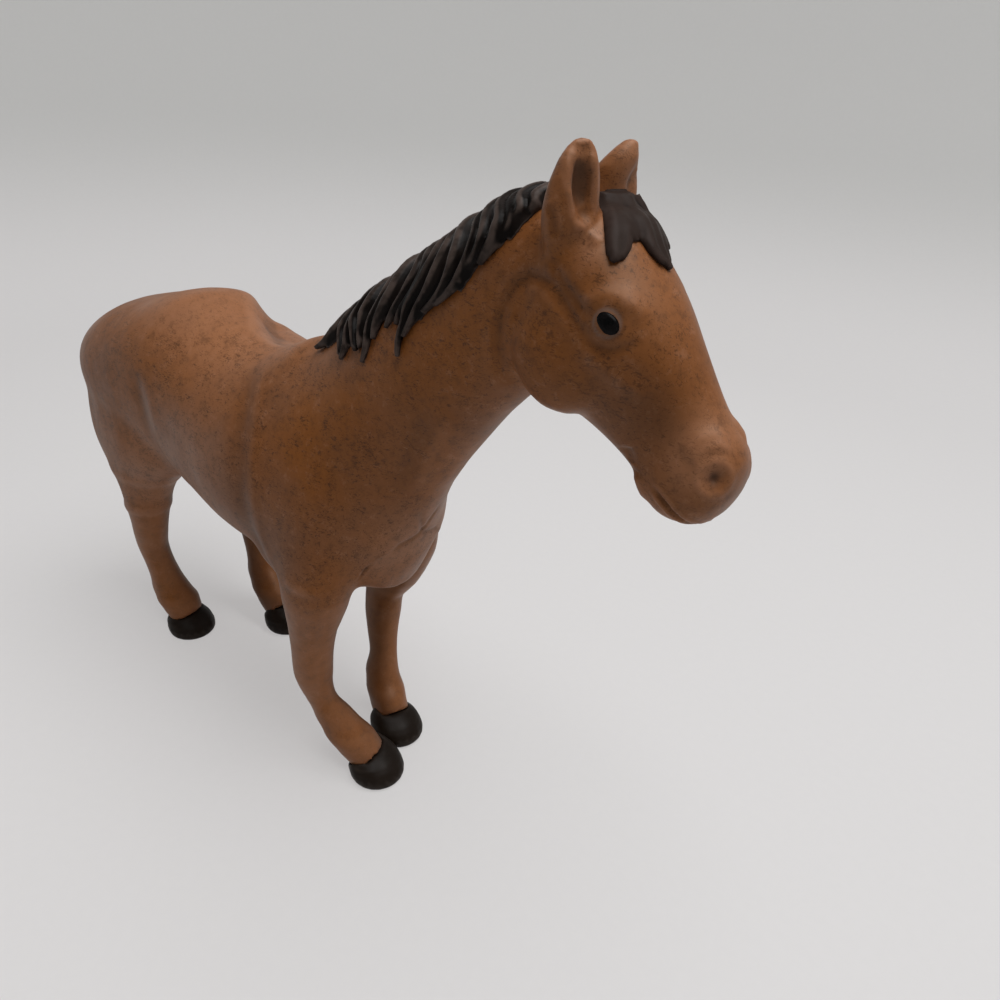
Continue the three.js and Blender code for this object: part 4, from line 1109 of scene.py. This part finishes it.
hair_vinyl = dark_vinyl(
    "dark hair vinyl", body=(0.0030, 0.0017, 0.0012, 1), worn_and_lit=(0.062, 0.045, 0.038, 1),
    roughness=0.36, bend_of_light=1.15, grain=2.5,
)
# What stands this far above the hair, once it is smoothed so often, is marked in full: it gets the painted
# highlight and the wear, and what lies below gets painted shade.
HAIR_RELIEF_MM, HAIR_SMOOTHED = 0.55, 50


def finish_hair(piece, node, vinyl=hair_vinyl):
    """Gives a piece of hair its material and its place in the part."""
    set_relief_mask(piece.data, HAIR_RELIEF_MM, HAIR_SMOOTHED)
    piece.data.materials.append(vinyl)
    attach(piece, "root")
    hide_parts(node)


MANE_FAR_RIM = [over_the_crest(path)[0] for path in MANE_LOCKS[1:]]
# Besides the locks, ropes run along its edges: line, half width and lift in mm, and roundness.
mane = hair_piece(
    "mane_locks", [over_the_crest(path) for path in MANE_LOCKS], MANE_UPPER, MANE_UNDER, MANE_SQUARE_MM, 1,
    [(MANE_EDGE, 1.3, 0.3, 0.6), (MANE_SHEET, 2.2, 0.2, 0.4), (MANE_FAR_RIM, 1.6, 0.2, 0.8)],
)
finish_hair(mane, "mane")

# Forelock
# The same hair on the brow, combed forward from between the ears into two tongues. It lies on the
# skin and is dustier than the mane.
FORELOCK_LOCKS = [
    [(93.5, 2.4, 190.6), (97.8, -1.0, 188.0), (101.4, -4.6, 186.2), (103.2, -7.0, 184.0),
     (104.4, -8.6, 181.6), (104.9, -8.9, 180.0)],
    [(94.6, 3.4, 190.9), (98.3, 0.8, 188.9), (102.0, -2.8, 187.0), (104.1, -5.0, 185.2),
     (105.2, -7.0, 182.9), (105.4, -8.2, 180.9)],
    [(95.6, 4.4, 190.9), (99.4, 2.4, 188.9), (102.6, -0.2, 187.2), (104.6, -2.2, 185.5),
     (105.6, -3.4, 184.0)],
    [(96.4, 5.6, 190.9), (100.4, 3.8, 188.4), (103.6, 1.8, 186.6), (106.3, 0.2, 184.4),
     (107.9, -0.1, 182.0), (109.3, 1.0, 179.6)],
    [(95.8, 6.8, 190.3), (100.2, 5.6, 188.0), (104.4, 4.0, 185.6), (107.4, 2.4, 183.0), (109.0, 2.2, 180.6),
     (110.0, 2.3, 178.6)],
    [(94.6, 8.0, 189.6), (99.6, 7.8, 187.4), (104.0, 6.8, 184.6), (107.4, 5.0, 182.0), (109.2, 3.6, 179.8)],
    [(93.4, 9.4, 188.6), (98.4, 9.8, 186.4), (103.0, 9.2, 183.6), (106.4, 7.2, 181.4)],
]
FORELOCK_UPPER, FORELOCK_UNDER, FORELOCK_SQUARE_MM = (1.9, 0.45, 0.6, 0.5), (2.2, 0.1, 0.5, 0.8), 0.36
# The hair is fuller on the far side, in this direction.
FORELOCK_FAR_SIDE = [("y", -1.0, 5.0), ("x", 95.5, 99.5), ("x", 107.5, 102.5)]
FULLER_MM, FULLER_WAY = 1.1, (0.3, 0.45, 0.84)
# Above this height it is pressed by this share against the far ear's root, from one x to the other.
FORELOCK_TOP_MM, FLATTENED_SHARE, FLATTENED_X_MM = 190.1, 0.7, (102.0, 98.0)
FORELOCK_ROUNDS = (30, 40)
forelock = hair_piece(
    "forelock_tongues", FORELOCK_LOCKS, FORELOCK_UPPER, FORELOCK_UNDER,
    FORELOCK_SQUARE_MM, FORELOCK_ROUNDS[0], [([lock[0] for lock in FORELOCK_LOCKS], 2.0, -0.4, 0.5)],
)
points = corners_of(forelock.data)
points += FULLER_MM * region(points, *FORELOCK_FAR_SIDE)[:, None] * np.array(FULLER_WAY)
too_high = np.maximum(points[:, 2] - FORELOCK_TOP_MM, 0.0)
points[:, 2] -= FLATTENED_SHARE * too_high * slope(points[:, 0], *FLATTENED_X_MM)
set_corners(forelock.data, points)
relax(forelock.data, FORELOCK_ROUNDS[1])
brow_hair_vinyl = dark_vinyl(
    "dusty brow hair vinyl", body=(0.020, 0.0120, 0.009, 1), worn_and_lit=(0.034, 0.022, 0.018, 1),
    roughness=0.50, bend_of_light=1.15, grain=2.0,
)
finish_hair(forelock, "forelock", brow_hair_vinyl)

# Tail
# A fall of the same hair, set with its root in the rump. Long combed strands run down it and end in
# a point.
TAIL_SQUARE_MM, TAIL_SLICES, TAIL_ROUNDS = 0.55, 60, 12
# How high the broad and the fine strands stand, and how far the tail is pressed in for them first.
STRAND_MM, FINE_STRAND_MM, STRAND_DEPTH_MM = 0.6, 0.22, 0.8
tail = joined_copy("tail_fall", ["tail"])
even_skin(tail, TAIL_SQUARE_MM)
relax(tail.data, TAIL_ROUNDS)
points = corners_of(tail.data)
outward = outward_of(tail.data)
top, bottom = points[:, 2].max(), points[:, 2].min()
drop = (top - points[:, 2]) / (top - bottom)
slice_of = np.clip((drop * TAIL_SLICES).astype(int), 0, TAIL_SLICES - 1)
centre_x = np.array([points[slice_of == k, 0].mean() for k in range(TAIL_SLICES)])
middle_x = np.interp(drop * TAIL_SLICES, np.arange(TAIL_SLICES) + 0.5, centre_x)
angle = np.arctan2(points[:, 1], points[:, 0] - middle_x)
strand = STRAND_MM * np.abs(np.sin(3.5 * angle + 2.6 * drop + 0.5 * np.sin(9 * drop + 2 * angle)))
fine = FINE_STRAND_MM * np.abs(np.sin(9.5 * angle - 5.0 * drop + 0.8 * np.sin(14 * drop)))
depth = (strand + fine) * slope(drop, 0, 0.12)
set_corners(tail.data, points - outward * (STRAND_DEPTH_MM - depth)[:, None] * slope(drop, 0, 0.1)[:, None])
finish_hair(tail, "tail")

# Sheet and light
# A pale paper sheet that sweeps up all round the toy, one wide soft lamp overhead and an even pale
# room above it.
SHEET_COLOUR, SHEET_SHADE = (0.66, 0.655, 0.655, 1.0), (0.645, 0.64, 0.64, 1.0)
# Seen by the camera the sheet keeps only a part of its shadows, as in the photograph, and these tones
# take their place. The rays that light the toy find the sheet's own colour, and a darker wall.
EVENNESS = 0.6
FLOOR_TONE, WALL_TONE = (0.70, 0.68, 0.675, 1.0), (0.46, 0.455, 0.44, 1.0)
ROOM_SHADE = (0.20, 0.20, 0.20, 1.0)
WALL_FULL_MM = 180.0
FLOOR_RINGS_MM = (60.0, 200.0, 360.0, 520.0)
FLOOR_REACH_MM, SWEEP_ROUND_MM, SHEET_TOP_MM = FLOOR_RINGS_MM[-1], 300.0, 700.0
SHEET_SIDES, SWEEP_STEPS = 96, 16
profile = [(reach, 0.0) for reach in FLOOR_RINGS_MM]
for k in range(1, SWEEP_STEPS + 1):
    bend = math.pi / 2 * k / SWEEP_STEPS
    profile.append((FLOOR_REACH_MM + SWEEP_ROUND_MM * math.sin(bend), SWEEP_ROUND_MM * (1 - math.cos(bend))))
profile.append((FLOOR_REACH_MM + SWEEP_ROUND_MM, SHEET_TOP_MM))
sheet_shape = bmesh.new()
centre = sheet_shape.verts.new((0.0, 0.0, 0.0))
rings = []
for reach, height in profile:
    ring = []
    for k in range(SHEET_SIDES):
        angle = 2 * math.pi * k / SHEET_SIDES
        corner = Vector((math.cos(angle) * reach, math.sin(angle) * reach, height))
        ring.append(sheet_shape.verts.new(corner / MM))
    rings.append(ring)
for k in range(SHEET_SIDES):
    m = (k + 1) % SHEET_SIDES
    sheet_shape.faces.new((centre, rings[0][k], rings[0][m]))
    for inner, outer in zip(rings, rings[1:]):
        sheet_shape.faces.new((inner[k], outer[k], outer[m], inner[m]))
sheet = piece_of(sheet_shape, "paper_sheet")
sheet.data.shade_smooth()
paper, tree, shader, place = new_material("pale paper")
light_path = tree.add("ShaderNodeLightPath")
seen = tree.sum("MAXIMUM", light_path.outputs["Is Camera Ray"], light_path.outputs["Is Glossy Ray"])
seen = tree.sum("MAXIMUM", seen, light_path.outputs["Is Transmission Ray"])
fibre = tree.between(tree.noise(place, 300.0, 3.0, 0.6), 0.3, 0.7)
own_colour = tree.mix(fibre, SHEET_COLOUR, SHEET_SHADE)
height = tree.add("ShaderNodeSeparateXYZ", {0: place}).outputs["Z"]
on_wall = tree.between(height, 0.0, WALL_FULL_MM / MM)
unseen = tree.mix(on_wall, own_colour, ROOM_SHADE)
even = tree.sum("MULTIPLY", seen, EVENNESS)
shown = tree.mix(even, own_colour, (0.0, 0.0, 0.0, 1.0))
tree.links.new(tree.mix(seen, unseen, shown), shader.inputs["Base Color"])
tree.links.new(tree.mix(on_wall, FLOOR_TONE, WALL_TONE), shader.inputs["Emission Color"])
tree.links.new(even, shader.inputs["Emission Strength"])
shader.inputs["Roughness"].default_value = 0.85
sheet.data.materials.append(paper)

LAMP_PLACE_MM, LAMP_AIM_MM, LAMP_WIDTH_MM, LAMP_WATTS = (240, 60, 900), (20, 0, 80), 800, 8.8
lamp_data = bpy.data.lights.new("overhead_lamp", "AREA")
lamp_data.shape = "DISK"
lamp_data.size = LAMP_WIDTH_MM / MM
lamp_data.energy = LAMP_WATTS
lamp = bpy.data.objects.new("overhead_lamp", lamp_data)
bpy.context.scene.collection.objects.link(lamp)
lamp.location = Vector(LAMP_PLACE_MM) / MM
lamp.rotation_mode = "QUATERNION"
lamp.rotation_quaternion = (Vector(LAMP_AIM_MM) - Vector(LAMP_PLACE_MM)).to_track_quat("-Z", "Y")
ROOM_COLOUR, ROOM_STRENGTH = (0.95, 0.965, 1.0, 1.0), 0.16
world = bpy.data.worlds.new("pale room")
world.use_nodes = True
background = world.node_tree.nodes["Background"]
background.inputs["Color"].default_value = ROOM_COLOUR
background.inputs["Strength"].default_value = ROOM_STRENGTH
bpy.context.scene.world = world
bpy.context.scene.view_settings.view_transform = "Standard"
